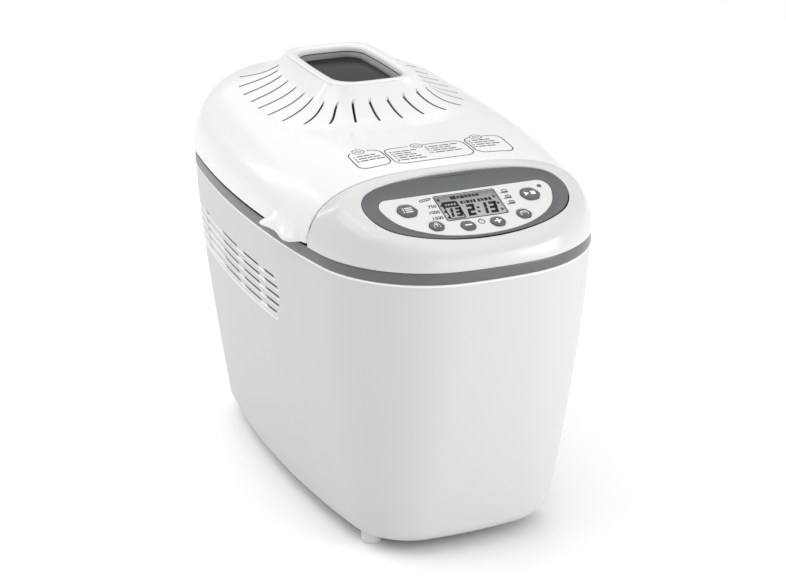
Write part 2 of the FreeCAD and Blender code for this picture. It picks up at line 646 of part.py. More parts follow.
def pulley(y, rr, zs, bore):
    s = None
    for (a, b, extra) in zs:
        p = cyl(rr + extra, a, b, 0, y)
        s = p if s is None else s.fuse(p)
    return s.cut(cyl(bore, 0, 60, 0, y))


pf = pulley(Y1, R_PULLEY, ((12.5, 13.5, 2.2), (13.5, 20.0, 0), (20.0, 21.0, 2.2), (21.0, 27.5, 0), (27.5, 28.5, 2.2)), 4.0)
pr = pulley(Y2, R_PULLEY, ((20.0, 21.0, 2.2), (21.0, 27.5, 0), (27.5, 28.5, 2.2)), 4.0)
for (p, y, name) in ((pf, Y1, "front"), (pr, Y2, "rear")):
    for i in range(5):
        a = 2 * math.pi * i / 5
        p = p.cut(cyl(8.0, 10, 40, 24 * math.cos(a), y + 24 * math.sin(a)))
    save("driven_pulley_" + name, p)
save("drive_belt", belt_loop(MOTOR_Y, R_MOTOR_PULLEY + 0.3, Y1, R_PULLEY + 0.3, 13.8, 19.7, 1.7))
save("link_belt", belt_loop(Y1, R_PULLEY + 0.3, Y2, R_PULLEY + 0.3, 21.3, 27.2, 1.7))
save("motor_pulley", pulley(MOTOR_Y, R_MOTOR_PULLEY, ((12.5, 13.5, 2.0), (13.5, 20.0, 0), (20.0, 21.0, 2.0)), 3.0))

can = cyl(28.0, 46.0, 100.0, 0, MOTOR_Y).cut(cyl(23.0, 49.0, 97.0, 0, MOTOR_Y))
can = can.cut(cyl(3.05, 40, 110, 0, MOTOR_Y))
for i in range(6):
    a = 2 * math.pi * (i + 0.5) / 6
    can = can.cut(cyl(4.0, 96, 101, 16 * math.cos(a), MOTOR_Y + 16 * math.sin(a)))
save("motor_stator", can)
rotor = fuse(cyl(3.0, 11.6, 108.0, 0, MOTOR_Y), cyl(21.0, 54.0, 92.0, 0, MOTOR_Y))
save("motor_rotor", rotor)
fan = cyl(7.0, 101.0, 107.0, 0, MOTOR_Y)
for i in range(8):
    b = box(6.0, 23.0, -0.8, 0.8, 101.0, 107.0)
    b.rotate(V(0, 0, 0), V(0, 0, 1), 45.0 * i)
    b.translate(V(0, MOTOR_Y, 0))
    fan = fan.fuse(b)
save("motor_fan", fan.cut(cyl(3.0, 95, 110, 0, MOTOR_Y)))
mm = []
for (x, y) in ((-17, MOTOR_Y - 15), (17, MOTOR_Y - 15), (-17, MOTOR_Y + 15), (17, MOTOR_Y + 15)):
    mm.append(cyl(5.0, 38.0, 46.0, x, y).fuse(cyl(2.0, 36.0, 38.0, x, y)).removeSplitter())
save("motor_mounts", Part.makeCompound(mm))

cap = cyl(15.0, ZB, 58.0, 54, -126).fuse(cyl(12.0, 58.0, 60.0, 54, -126))
save("run_capacitor", cap)

pb = box(-66.0, -64.4, -148, -108, ZB, 78)
pb = fuse(pb, box(-64.4, -42.0, -140, -116, 20, 44), box(-64.4, -50.0, -130, -114, 52, 66),
          cyl_dir(5.0, (-64.4, -138, 58), (-50.0, -138, 58)))
save("power_board", pb)

# ---------------------------------------------------------------- control housing
fy = [SEAM_Y - SEAM_GAP, -128.0, -140.0, -152.0, -164.0, -175.0, -184.0, -191.0, -197.0, -202.0, -205.0, -206.6]
c_out = crown_solid(fy, 0.0, BAND_Z1)
fi = [SEAM_Y - SEAM_GAP - 2.5, -128.0, -140.0, -152.0, -164.0, -175.0, -184.0, -191.0, -197.0, -201.0, -203.6]
c_in = crown_solid(fi, LID_WALL, BAND_Z1 - 3)
ctrl = c_out.cut(c_in)
ctrl = ctrl.cut(panel_extrude(bezel_wire(0.0, -30.0), 60.0))
save("control_housing", ctrl)

bezel = panel_extrude(bezel_wire(0.3, -4.5), 5.3).cut(panel_extrude(fascia_wire(0.0, -10.0), 20.0))
save("panel_bezel", bezel)

fascia = panel_extrude(fascia_wire(0.3, -2.0), 2.0)
for name, (u, v, rr) in BUTTONS.items():
    fascia = fascia.cut(panel_extrude(hexish(rr + 0.4, u, v, -5.0), 10.0))
fascia = fascia.cut(panel_box(-LCD[0], LCD[0], LCD[2], LCD[1], -5, 5))
fascia = fascia.cut(panel_cyl(1.75, LED[0], LED[1], -5, 5))
BOSS = [(-62.0, -34.0), (62.0, -36.0), (-22.5, -64.3), (22.5, -64.3)]
for (u, v) in BOSS:
    fascia = fascia.fuse(panel_cyl(2.4, u, v, -10.0, -1.5)).cut(panel_cyl(1.06, u, v, -10.5, -4.0))
save("panel_fascia", fascia)

for name, (u, v, rr) in BUTTONS.items():
    b = panel_extrude(hexish(rr, u, v, -3.2), 4.4)
    b = b.fuse(panel_cyl(rr + 1.0, u, v, -4.4, -3.2)).fuse(panel_cyl(1.8, u, v, -5.0, -4.3))
    save(name, b)

save("lcd_window", panel_box(-LCD[0] + 0.2, LCD[0] - 0.2, LCD[2] + 0.2, LCD[1] - 0.2, -2.0, -0.3))
save("lcd_module", panel_box(-25.5, 25.5, -51.6, -20.5, -6.0, -2.3).fuse(panel_box(-22.0, 22.0, -24.0, -21.0, -10.0, -6.0)))
save("status_light", panel_cyl(1.6, LED[0], LED[1], -3.0, 0.3).fuse(panel_cyl(2.2, LED[0], LED[1], -10.0, -3.0)))

pcb = panel_extrude(fascia_wire(2.2, -11.6), 1.6)
for (u, v) in BOSS:
    pcb = pcb.cut(panel_cyl(1.2, u, v, -13, -9))
save("control_board", pcb)
sw = []
for name, (u, v, rr) in BUTTONS.items():
    sw.append(panel_box(u - 3, u + 3, v - 3, v + 3, -10.0, -7.2).fuse(
        panel_cyl(1.7, u, v, -7.2, -6.3)).removeSplitter())
save("key_switches", Part.makeCompound(sw))
bs = []
for (u, v) in BOSS:
    bs.append(panel_cyl(2.2, u, v, -13.2, -11.6).fuse(panel_cyl(1.0, u, v, -11.6, -5.0)).removeSplitter())
save("board_screws", Part.makeCompound(bs))

# ---------------------------------------------------------------- lid
ly = [SEAM_Y + SEAM_GAP, -85.0, -45.0, 0.0, 45.0, 90.0, 120.0, 142.0, 158.0, 171.0, 182.0, 190.0, 197.0, 202.0, 205.0, 206.6]
l_out = crown_solid(ly, 0.0, BAND_Z1)
li = [SEAM_Y + SEAM_GAP + 2.5, -85.0, -45.0, 0.0, 45.0, 90.0, 120.0, 142.0, 158.0, 171.0, 182.0, 190.0, 196.0, 200.5, 203.6]
l_in = crown_solid(li, LID_WALL, BAND_Z1 - 3)
CHR = [(282.0, 97.0, 108.0, 70.0), (291.0, 86.0, 99.0, 62.0), (296.0, 70.0, 86.0, 48.0),
       (301.0, 56.0, 75.0, 36.0), (307.0, 46.5, 68.0, 27.0), (312.5, 40.6, 64.6, 22.0), (CH_TOP, 37.6, 62.6, 19.0)]
chim = Part.makeLoft([rrect(a, b, c, z, 0, CH_Y) for (z, a, b, c) in CHR], True, True)
chim_in = Part.makeLoft([rrect(a - 3.0, b - 3.0, c - 3.0, z - 3.0, 0, CH_Y) for (z, a, b, c) in CHR[:5]], True, True)
ears = None
for s in (-1, 1):
    p = [V(s * 104, -108, 239.2), V(s * 126, -104, 239.2), V(s * 131, -96, 239.2), V(s * 131, -78, 239.2),
         V(s * 127, -68, 239.2), V(s * 118, -60, 239.2), V(s * 104, -56, 239.2)]
    ear = Part.Face(Part.makePolygon(p + [p[0]])).extrude(V(0, 0, 5.2))
    ears = ear if ears is None else ears.fuse(ear)
lid = l_out.fuse(ears).fuse(chim)
lid = lid.cut(l_in).cut(chim_in)
lid = lid.cut(rblock(CH_OPEN[0], CH_OPEN[1], CH_OPEN[2], 270, CH_TOP + 2, 0, CH_Y))
lid = lid.cut(rblock(33.0, 57.5, 18.0, 270, 308.0, 0, CH_Y))
LSCR = [(-92, -80), (92, -80), (-96, 90), (96, 90)]
for (x, y) in LSCR:
    boss = cyl(4.2, 242.2, crown_z(x, y) - 1.2, x, y).cut(cyl(1.66, 240.0, 258.0, x, y))
    lid = lid.fuse(boss)
# clear the hinge corner so the back edge can swing down past the band
lid = lid.cut(box(-140, 140, -130, 215, 230, BAND_Z1 + LID_GAP))
lid = lid.cut(box(-64, 64, HINGE_Y, 215, 230, 246.5))
lid = lid.cut(box(-56, 56, HINGE_Y, 215, 230, HINGE_Z + 3.0))
# vent slots round the chimney
SLOTS = [(-9.0, -17.0, -7.0, 4.0), (-28.0, -16.0, -21.0, 4.7), (-48.0, -12.0, -32.0, 7.2), (-65.5, 1.0, -42.0, 14.0),
         (-77.5, 21.0, -48.5, 29.5), (-81.5, 43.0, -50.0, 46.3), (-82.3, 63.5, -50.0, 65.0), (-82.2, 82.0, -49.8, 83.5),
         (-81.5, 101.0, -49.4, 99.5), (-79.0, 120.0, -48.3, 111.0), (-71.0, 140.8, -45.2, 117.5)]
for (xa, ya, xb, yb2) in SLOTS:
    for s in (1, -1):
        L = math.hypot(xb - xa, yb2 - ya)
        t = box(0, L, -0.9, 0.9, 270, 330)
        t.rotate(V(0, 0, 0), V(0, 0, 1), math.degrees(math.atan2(yb2 - ya, xb - xa)))
        t.translate(V(xa, ya, 0))
        if s < 0:
            t = t.mirror(V(0, 0, 0), V(1, 0, 0))
        lid = lid.cut(t)
save("lid_shell", lid)

# liner: flange, recess over the pan, tunnel up to the window
LZ = 240.2
RX, RY0, RY1, RZ = 66.0, -98.0, 174.0, 276.5
rcy, rhy = (RY0 + RY1) / 2.0, (RY1 - RY0) / 2.0
lf = band_prism(6.0, LZ, LZ + 2.0)
lf = lf.cut(box(-140, 140, -220, SEAM_Y + 4.0, 230, 250)).cut(box(-140, 140, 183.0, 220, 230, 250))
rec = rblock(RX + 1.8, rhy + 1.8, 15.8, LZ, RZ + 1.8, 0, rcy)
rec_in = rblock(RX, rhy, 14.0, LZ - 2, RZ, 0, rcy)
tun = rblock(30.0, 54.5, 10.2, RZ, 302.4, 0, CH_Y).fuse(rblock(32.4, 56.9, 17.4, 300.6, 302.4, 0, CH_Y))
tun_in = rblock(27.8, 52.3, 8.0, RZ - 2, 310, 0, CH_Y)
liner = fuse(lf, rec, tun).cut(rec_in).cut(tun_in)
for s in (-1, 1):
    for (xa, xb) in ((32.0, 37.4), (47.0, 52.4)):
        x0, x1 = (xa, xb) if s > 0 else (-xb, -xa)
        lug = fuse(box(x0, x1, 176.5, HINGE_Y, LZ, 250.0), box(x0, x1, 182.0, HINGE_Y, 244.0, HINGE_Z + 4),
                   cyl_dir(HINGE_R - 0.5, (x0, HINGE_Y, HINGE_Z), (x1, HINGE_Y, HINGE_Z)))
        lug = lug.cut(cyl_dir(PIN_R, (x0 - 1, HINGE_Y, HINGE_Z), (x1 + 1, HINGE_Y, HINGE_Z)))
        liner = liner.fuse(lug)
for (x, y) in LSCR:
    liner = liner.cut(cyl(1.66, LZ - 1, LZ + 4, x, y))
save("lid_liner", liner)
ls = []
for (x, y) in LSCR:
    ls.append(cyl(3.4, LZ - 1.5, LZ, x, y).fuse(cyl(1.6, LZ, 256.0, x, y)).removeSplitter())
save("lid_screws", Part.makeCompound(ls))

save("window_gasket", rtub(32.4, 56.9, 17.4, 3.6, 302.4, GLASS_Z, 0, CH_Y))
save("window_glass", rblock(32.5, 57.0, 17.5, GLASS_Z, GLASS_Z + GLASS_T, 0, CH_Y))
save("window_frame", rtub(28.2, 52.7, 14.7, 3.4, GLASS_Z + GLASS_T, 311.6, 0, CH_Y))

pins = []
for s in (-1, 1):
    a, b = (31.5, 53.2) if s > 0 else (-53.2, -31.5)
    pins.append(cyl_dir(PIN_R, (a, HINGE_Y, HINGE_Z), (b, HINGE_Y, HINGE_Z)))
save("hinge_pins", Part.makeCompound(pins))

# hinge bracket on the deck, with the barrel that closes the gap at the back
hb = box(-60, 60, 180.5, 193.0, 233.5, 236.0)
for (xa, xb) in ((-31.0, 31.0), (-46.0, -38.4), (38.4, 46.0)):
    k = box(xa, xb, 185.0, 193.0, 233.5, HINGE_Z).fuse(
        cyl_dir(HINGE_R, (xa, HINGE_Y, HINGE_Z), (xb, HINGE_Y, HINGE_Z)))
    hb = hb.fuse(k)
for (xa, xb) in ((-47.0, -37.5), (37.5, 47.0)):
    hb = hb.cut(cyl_dir(PIN_R + 0.06, (xa, HINGE_Y, HINGE_Z), (xb, HINGE_Y, HINGE_Z)))
save("hinge_bracket", hb)
print("done")
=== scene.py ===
import bpy, bmesh, math
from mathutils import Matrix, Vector


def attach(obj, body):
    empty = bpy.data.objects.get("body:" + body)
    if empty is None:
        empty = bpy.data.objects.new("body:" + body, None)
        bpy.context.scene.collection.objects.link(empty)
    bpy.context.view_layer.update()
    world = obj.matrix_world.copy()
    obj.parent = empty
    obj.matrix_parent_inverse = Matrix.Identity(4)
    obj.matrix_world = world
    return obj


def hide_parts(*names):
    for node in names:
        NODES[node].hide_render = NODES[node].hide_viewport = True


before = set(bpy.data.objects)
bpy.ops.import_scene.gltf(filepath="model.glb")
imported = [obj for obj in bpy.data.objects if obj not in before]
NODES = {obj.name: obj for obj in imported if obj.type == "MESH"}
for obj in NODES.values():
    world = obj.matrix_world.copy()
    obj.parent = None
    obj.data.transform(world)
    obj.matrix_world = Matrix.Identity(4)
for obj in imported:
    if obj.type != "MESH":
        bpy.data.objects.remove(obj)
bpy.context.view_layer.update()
MM = 0.001
LIFT = 4.0            # shapes below are written from 4 mm above the worktop
PI = math.pi

# ================================================================== shape of the machine (mm)
HALF_W, HALF_D = 122.9, 207.0
R_FRONT, R_BACK, R_SIDE, Y_SIDE = 347.1, 337.7, 855.0, 23.55
RC_FRONT, RC_BACK = 90.5, 91.5
FOOT_H, BASE_R = 6.0, 13.3
BAND_Z0, BAND_Z1 = 228.5, 238.2
SEAM_Y = -117.0
CH_Y, RIM_Z = 74.5, 315.8


def corner_centre(A, B, Rend, rc, Rs, sgn):
    c1, c2 = (A - Rs, Y_SIDE), (0.0, sgn * (B - Rend))
    r1, r2 = Rs - rc, Rend - rc
    dx, dy = c2[0] - c1[0], c2[1] - c1[1]
    L = math.hypot(dx, dy)
    a = (r1 * r1 - r2 * r2 + L * L) / (2 * L)
    h = math.sqrt(max(r1 * r1 - a * a, 0.0))
    m = (c1[0] + dx / L * a, c1[1] + dy / L * a)
    p1 = (m[0] - dy / L * h, m[1] + dx / L * h)
    p2 = (m[0] + dy / L * h, m[1] - dx / L * h)
    return (p1 if p1[1] * sgn > p2[1] * sgn else p2), c1, c2


def outline_data(A, B, Rf, Rb, Rs, rcf, rcb):
    qb, c1, cb = corner_centre(A, B, Rb, rcb, Rs, 1)
    qf, _, cf = corner_centre(A, B, Rf, rcf, Rs, -1)
    at = lambda p, c: math.atan2(p[1] - c[1], p[0] - c[0])
    return dict(qf=qf, qb=qb, c1=c1, cf=cf, cb=cb, Rf=Rf, Rb=Rb, Rs=Rs, rcf=rcf, rcb=rcb,
                a0=at(qf, c1), a1=at(qb, c1), b1=at(qb, cb), g1=at(qf, cf))


def half_arcs(o):
    """Right half of an outline, from the middle of the front to the middle of the back."""
    return [(o["cf"], o["Rf"], -PI / 2, o["g1"]), (o["qf"], o["rcf"], o["g1"], o["a0"]),
            (o["c1"], o["Rs"], o["a0"], o["a1"]), (o["qb"], o["rcb"], o["a1"], o["b1"]),
            (o["cb"], o["Rb"], o["b1"], PI / 2)]


def band_outline(d):
    return outline_data(HALF_W - d, HALF_D - d, R_FRONT - d, R_BACK - d, R_SIDE - d,
                        RC_FRONT - d, RC_BACK - d)


BAND = band_outline(0.0)


def inset(x, y):
    o = BAND
    x = abs(x)
    best = R_SIDE - math.hypot(x - o["c1"][0], y - o["c1"][1])
    for q, r, c, R, s, lo, hi in ((o["qf"], RC_FRONT, o["cf"], R_FRONT, -1, o["g1"], o["a0"]),
                                  (o["qb"], RC_BACK, o["cb"], R_BACK, 1, o["a1"], o["b1"])):
        vx, vy = x - q[0], y - q[1]
        if lo <= math.atan2(vy, vx) <= hi:
            return r - math.hypot(vx, vy)
        if (y - c[1]) * s > 0:
            best = min(best, R - math.hypot(x - c[0], y - c[1]))
    return best


def crown_z(x, y, t=0.0):
    d = max(inset(x, y) - t, 0.0)
    s = max(y - SEAM_Y, 0.0) / 100.0
    H = 47.6 + 14.67 * s - 9.94 * s * s + 2.414 * s ** 3
    n = 3.07 + 1.19 * min(max((y - SEAM_Y) / 250.0, 0.0), 1.0)
    u = min(max(1.0 - d / 104.1, 0.0), 1.0)
    h = H * (1.0 - u ** n) ** (1.0 / 2.398)
    if y < SEAM_Y and h > 0.0:
        k = min((SEAM_Y - y) / 25.0, 1.0)
        k = k * k * (3.0 - 2.0 * k)
        side = 46.0 * (1.0 - (1.0 - min(d / 30.0, 1.0)) ** 2) ** 0.714
        p = h * (1.0 - k) + side * k
        top = 45.7 + 0.4166 * (y + 122.0)
        both = (p ** -5.0 + top ** -5.0) ** -0.2
        h = p * (1.0 - k) + both * k
    elif y > SEAM_Y:
        # the top is flatter in the middle than a plain dome
        w = min(max((d - 45.0) / 50.0, 0.0), 1.0)
        g = min((y - SEAM_Y) / 90.0, 1.0)
        h -= 3.0 * w * w * (3.0 - 2.0 * w) * g * g * (3.0 - 2.0 * g)
    return BAND_Z1 + h - t


def ring_size(e):
    """Chimney ring: half width, half length, corner radius; 0 is the rim, 1 where it melts into the lid."""
    return 38.0 + 52.0 * e, 63.5 + 40.5 * e ** 1.12, 19.0 + 47.0 * e


def rr_point(hx, hy, r, f):
    """Point at fraction f of a rounded rectangle's edge, 0 at the middle of -Y, going to +X."""
    ax, ay, q = hx - r, hy - r, PI * r / 2
    f = f % 1.0
    side = 1.0
    if f > 0.5:
        f, side = 1.0 - f, -1.0
    d = f * (4 * ax + 4 * ay + 4 * q)
    if d <= ax:
        p = (d, -hy)
    elif d <= ax + q:
        a = -PI / 2 + (d - ax) / r
        p = (ax + r * math.cos(a), -ay + r * math.sin(a))
    elif d <= ax + q + 2 * ay:
        p = (hx, -ay + d - ax - q)
    elif d <= ax + 2 * q + 2 * ay:
        a = (d - ax - q - 2 * ay) / r
        p = (ax + r * math.cos(a), ay + r * math.sin(a))
    else:
        p = (ax - (d - ax - 2 * q - 2 * ay), hy)
    return side * p[0], p[1]


def rr_inside(x, y, hx, hy, r):
    x, y = abs(x), abs(y)
    dx, dy = x - (hx - r), y - (hy - r)
    if dx > 0 and dy > 0:
        return math.hypot(dx, dy) - r
    return max(x - hx, y - hy)


def flare_e(x, y):
    y -= CH_Y
    if rr_inside(x, y, *ring_size(0.0)) <= 0:
        return 0.0
    if rr_inside(x, y, *ring_size(1.0)) >= 0:
        return 1.0
    lo, hi = 0.0, 1.0
    for _ in range(36):
        m = (lo + hi) / 2
        if rr_inside(x, y, *ring_size(m)) > 0:
            lo = m
        else:
            hi = m
    return lo


def rr_fraction(x, y, hx, hy, r):
    """Fraction of the edge of a rounded rectangle nearest to x, y (x >= 0)."""
    best = (1e9, 0.0)
    for i in range(401):
        f = 0.5 * i / 400
        p = rr_point(hx, hy, r, f)
        d = (p[0] - x) ** 2 + (p[1] - y) ** 2
        if d < best[0]:
            best = (d, f)
    return best[1]


def lid_z(x, y):
    c = crown_z(x, y)
    return c + (RIM_Z - c) * (1.0 - flare_e(x, y)) ** 2.6


# control panel plane
TILT = math.radians(19.93)
CT, ST = math.cos(TILT), math.sin(TILT)


def pan(u, v, w=0.0):
    return (u, -122.0 + v * CT - w * ST, 280.0 + v * ST + w * CT)


# ================================================================== mesh helpers
def new_object(name, verts, faces, mats, body, face_mat=None, sharp=38.0, slot=None, replaces=()):
    me = bpy.data.meshes.new(name)
    me.from_pydata([(x * MM, y * MM, (z + LIFT) * MM) for (x, y, z) in verts], [], faces)
    for m in mats:
        me.materials.append(m)
    if face_mat:
        for p, k in zip(me.polygons, face_mat):
            p.material_index = k
    bm = bmesh.new()
    bm.from_mesh(me)
    bmesh.ops.remove_doubles(bm, verts=bm.verts, dist=1e-7)
    bmesh.ops.dissolve_degenerate(bm, edges=bm.edges, dist=1e-7)
    bm.to_mesh(me)
    bm.free()
    for p in me.polygons:
        p.use_smooth = True
    if sharp:
        me.set_sharp_from_angle(angle=math.radians(sharp))
    me.update()
    ob = bpy.data.objects.new(name, me)
    bpy.context.scene.collection.objects.link(ob)
    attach(ob, body)
    for n in replaces:
        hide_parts(n)
    return ob


def grid_faces(nr, nc, closed=True, flip=False, base=0):
    f = []
    for i in range(nr - 1):
        for j in range(nc if closed else nc - 1):
            a, b = i * nc + j, i * nc + (j + 1) % nc
            c, d = (i + 1) * nc + (j + 1) % nc, (i + 1) * nc + j
            q = (a + base, b + base, c + base, d + base)
            f.append(q[::-1] if flip else q)
    return f


def rings_object(name, rings, mats, body, closed=True, flip=False, face_mat=None, **kw):
    nc = len(rings[0])
    verts = [p for r in rings for p in r]
    faces = grid_faces(len(rings), nc, closed, flip)
    fm = None
    if face_mat:
        fm = [face_mat(i, j) for i in range(len(rings) - 1) for j in range(nc if closed else nc - 1)]
    return new_object(name, verts, faces, mats, body, fm, **kw)


class Flat:
    """Collects thin flat shapes that lie on a surface, prints and painted shade alike."""

    def __init__(self, place):
        self.place, self.v, self.f = place, [], []

    def poly(self, pts, lift=0.0):
        b = len(self.v)
        self.v += [self.place(u, v, lift) for (u, v) in pts]
        self.f.append(tuple(range(b, b + len(pts))))

    def stroke(self, pts, width, closed=False, lift=0.0):
        n = len(pts)
        L, R = [], []
        for i in range(n):
            a = pts[(i - 1) % n] if (closed or i > 0) else pts[i]
            c = pts[(i + 1) % n] if (closed or i < n - 1) else pts[i]
            dx, dy = c[0] - a[0], c[1] - a[1]
            k = math.hypot(dx, dy) or 1.0
            nx, ny = -dy / k * width / 2, dx / k * width / 2
            L.append((pts[i][0] + nx, pts[i][1] + ny))
            R.append((pts[i][0] - nx, pts[i][1] - ny))
        for i in range(n if closed else n - 1):
            j = (i + 1) % n
            self.poly([R[i], R[j], L[j], L[i]], lift)

    def bar(self, u0, u1, v0, v1, lift=0.0, n=1):
        for i in range(n):
            a, b = u0 + (u1 - u0) * i / n, u0 + (u1 - u0) * (i + 1) / n
            self.poly([(a, v0), (b, v0), (b, v1), (a, v1)], lift)

    def disc(self, u, v, r, lift=0.0, n=20):
        self.poly([(u + r * math.cos(2 * PI * i / n), v + r * math.sin(2 * PI * i / n)) for i in range(n)], lift)

    def circle(self, u, v, r, width, lift=0.0, n=28, a0=0.0, a1=2 * PI):
        full = abs(a1 - a0 - 2 * PI) < 1e-6
        m = n if full else n + 1
        self.stroke([(u + r * math.cos(a0 + (a1 - a0) * i / n), v + r * math.sin(a0 + (a1 - a0) * i / n))
                     for i in range(m)], width, full, lift)

    def text(self, s, u, v, size, lift=0.0, align="CENTER", squash=1.0, bold=0.0):
        cu = bpy.data.curves.new("t", "FONT")
        cu.body, cu.size, cu.align_x, cu.align_y = s, size, align, "CENTER"
        cu.offset = bold
        ob = bpy.data.objects.new("t", cu)
        bpy.context.scene.collection.objects.link(ob)
        bpy.context.view_layer.update()
        me = bpy.data.meshes.new_from_object(ob.evaluated_get(bpy.context.evaluated_depsgraph_get()))
        b = len(self.v)
        self.v += [self.place(u + p.co.x * squash, v + p.co.y, lift) for p in me.vertices]
        self.f += [tuple(b + i for i in p.vertices) for p in me.polygons]
        bpy.data.objects.remove(ob)
        bpy.data.curves.remove(cu)
        bpy.data.meshes.remove(me)

    def rounded(self, u0, u1, v0, v1, r, n=8):
        pts = []
        for (cx, cy, a) in ((u1 - r, v1 - r, 0), (u0 + r, v1 - r, 1), (u0 + r, v0 + r, 2), (u1 - r, v0 + r, 3)):
            for i in range(n + 1):
                t = (a + i / n) * PI / 2
                pts.append((cx + r * math.cos(t), cy + r * math.sin(t)))
        return pts

    def make(self, name, mat, body, slot=None, replaces=()):
        return new_object(name, self.v, self.f, [mat], body, sharp=None, slot=slot, replaces=replaces)


def densify(pts, step, closed=True):
    out = []
    n = len(pts)
    for i in range(n if closed else n - 1):
        a, b = pts[i], pts[(i + 1) % n]
        L = math.hypot(b[0] - a[0], b[1] - a[1])
        m = max(int(L / step), 1)
        out += [(a[0] + (b[0] - a[0]) * k / m, a[1] + (b[1] - a[1]) * k / m) for k in range(m)]
    if not closed:
        out.append(pts[-1])
    return out


# ================================================================== materials
def material(name, colour, rough, spread=0.02, scale=180.0, bump=0.0, bump_scale=900.0, metallic=0.0,
             coat=0.0, coat_rough=0.08, rough_spread=0.04, specular=0.5, stretch=None, dust=0.0):
    m = bpy.data.materials.new(name)
    m.use_nodes = True
    nt = m.node_tree
    bs = nt.nodes["Principled BSDF"]
    bs.inputs["Metallic"].default_value = metallic
    bs.inputs["Specular IOR Level"].default_value = specular
    bs.inputs["Coat Weight"].default_value = coat
    bs.inputs["Coat Roughness"].default_value = coat_rough
    co = nt.nodes.new("ShaderNodeTexCoord")
    src = co.outputs["Object"]
    if stretch:
        mp = nt.nodes.new("ShaderNodeMapping")
        mp.inputs["Scale"].default_value = stretch
        nt.links.new(src, mp.inputs["Vector"])
        src = mp.outputs["Vector"]
    big = nt.nodes.new("ShaderNodeTexNoise")
    big.inputs["Scale"].default_value = scale
    big.inputs["Detail"].default_value = 4.0
    nt.links.new(src, big.inputs["Vector"])
    ramp = nt.nodes.new("ShaderNodeValToRGB")
    lo = [max(c * (1.0 - spread), 0.0) for c in colour]
    hi = [min(c * (1.0 + spread), 1.0) for c in colour]
    ramp.color_ramp.elements[0].position, ramp.color_ramp.elements[1].position = 0.3, 0.7
    ramp.color_ramp.elements[0].color = (*lo, 1.0)
    ramp.color_ramp.elements[1].color = (*hi, 1.0)
    nt.links.new(big.outputs["Fac"], ramp.inputs["Fac"])
    nt.links.new(ramp.outputs["Color"], bs.inputs["Base Color"])
    rr = nt.nodes.new("ShaderNodeMapRange")
    rr.inputs["To Min"].default_value = max(rough - rough_spread, 0.02)
    rr.inputs["To Max"].default_value = min(rough + rough_spread, 1.0)
    nt.links.new(big.outputs["Fac"], rr.inputs["Value"])
    nt.links.new(rr.outputs["Result"], bs.inputs["Roughness"])
    if bump:
        fine = nt.nodes.new("ShaderNodeTexNoise")
        fine.inputs["Scale"].default_value = bump_scale
        fine.inputs["Detail"].default_value = 2.0
        nt.links.new(src, fine.inputs["Vector"])
        bp = nt.nodes.new("ShaderNodeBump")
        bp.inputs["Strength"].default_value = bump
        bp.inputs["Distance"].default_value = 0.0002
        nt.links.new(fine.outputs["Fac"], bp.inputs["Height"])
        nt.links.new(bp.outputs["Normal"], bs.inputs["Normal"])
    return m


M_WHITE = material("white_gloss_shell", (0.716, 0.717, 0.713), 0.25, 0.006, 1400.0, 0.03, 900.0, coat=0.3, coat_rough=0.1, rough_spread=0.02)
# painted shade: the body is the lid's white plastic in a darker copy, standing in for the shade on its sides
M_BODY_SHADE = material("white_satin_body", (0.556, 0.559, 0.557), 0.44, 0.006, 1400.0, 0.03, 900.0, coat=0.04, coat_rough=0.2, rough_spread=0.02, specular=0.22)
# painted shade: the control housing is the lid's white plastic in a darker copy, standing in for the shade on its
# front
M_CTRL_SHADE = material("white_gloss_control", (0.568, 0.569, 0.566), 0.25, 0.006, 1400.0, 0.03, 900.0, coat=0.3, coat_rough=0.1, rough_spread=0.02)
# painted highlight: lighter than the body's white, for the vent lips and the rolled top lip of the body
M_LIP_HIGHLIGHT = material("white_edge", (0.76, 0.76, 0.755), 0.3, 0.006, 1400.0, 0.03, 900.0, coat=0.3)
M_FASCIA = material("fascia_white", (0.63, 0.63, 0.626), 0.36, 0.008, 1400.0, 0.06, 1500.0)
M_GREY = material("grey_trim", (0.086, 0.090, 0.093), 0.30, 0.05, 900.0, 0.08, 1600.0, specular=0.7)
M_BEZEL = material("grey_bezel", (0.112, 0.115, 0.117), 0.46, 0.05, 900.0, 0.08, 1600.0, specular=0.28)
# painted shade: near-black for the joints round the trim band, the panel bezel and the window trim
M_GAP_SHADE = material("dark_gap", (0.004, 0.004, 0.004), 0.8, 0.2, 200.0, 0.1, 900.0, specular=0.1)
M_SLOT = material("slot_shadow", (0.010, 0.010, 0.010), 0.8, 0.2, 200.0, 0.1, 900.0, specular=0.1)
# painted shade: grey for the walls of the lid's slots, standing in for the shadow inside them
M_SLOTWALL_SHADE = material("slot_wall", (0.19, 0.19, 0.19), 0.6, 0.1, 900.0, 0.1, 900.0)
M_KEY = material("key_grey", (0.080, 0.083, 0.087), 0.34, 0.06, 900.0, 0.08, 1500.0)
M_RING = material("key_ring", (0.52, 0.52, 0.51), 0.35, 0.03, 900.0, 0.05, 900.0)
M_ICON = material("icon_white", (0.88, 0.88, 0.88), 0.45, 0.02, 900.0, 0.05, 900.0)
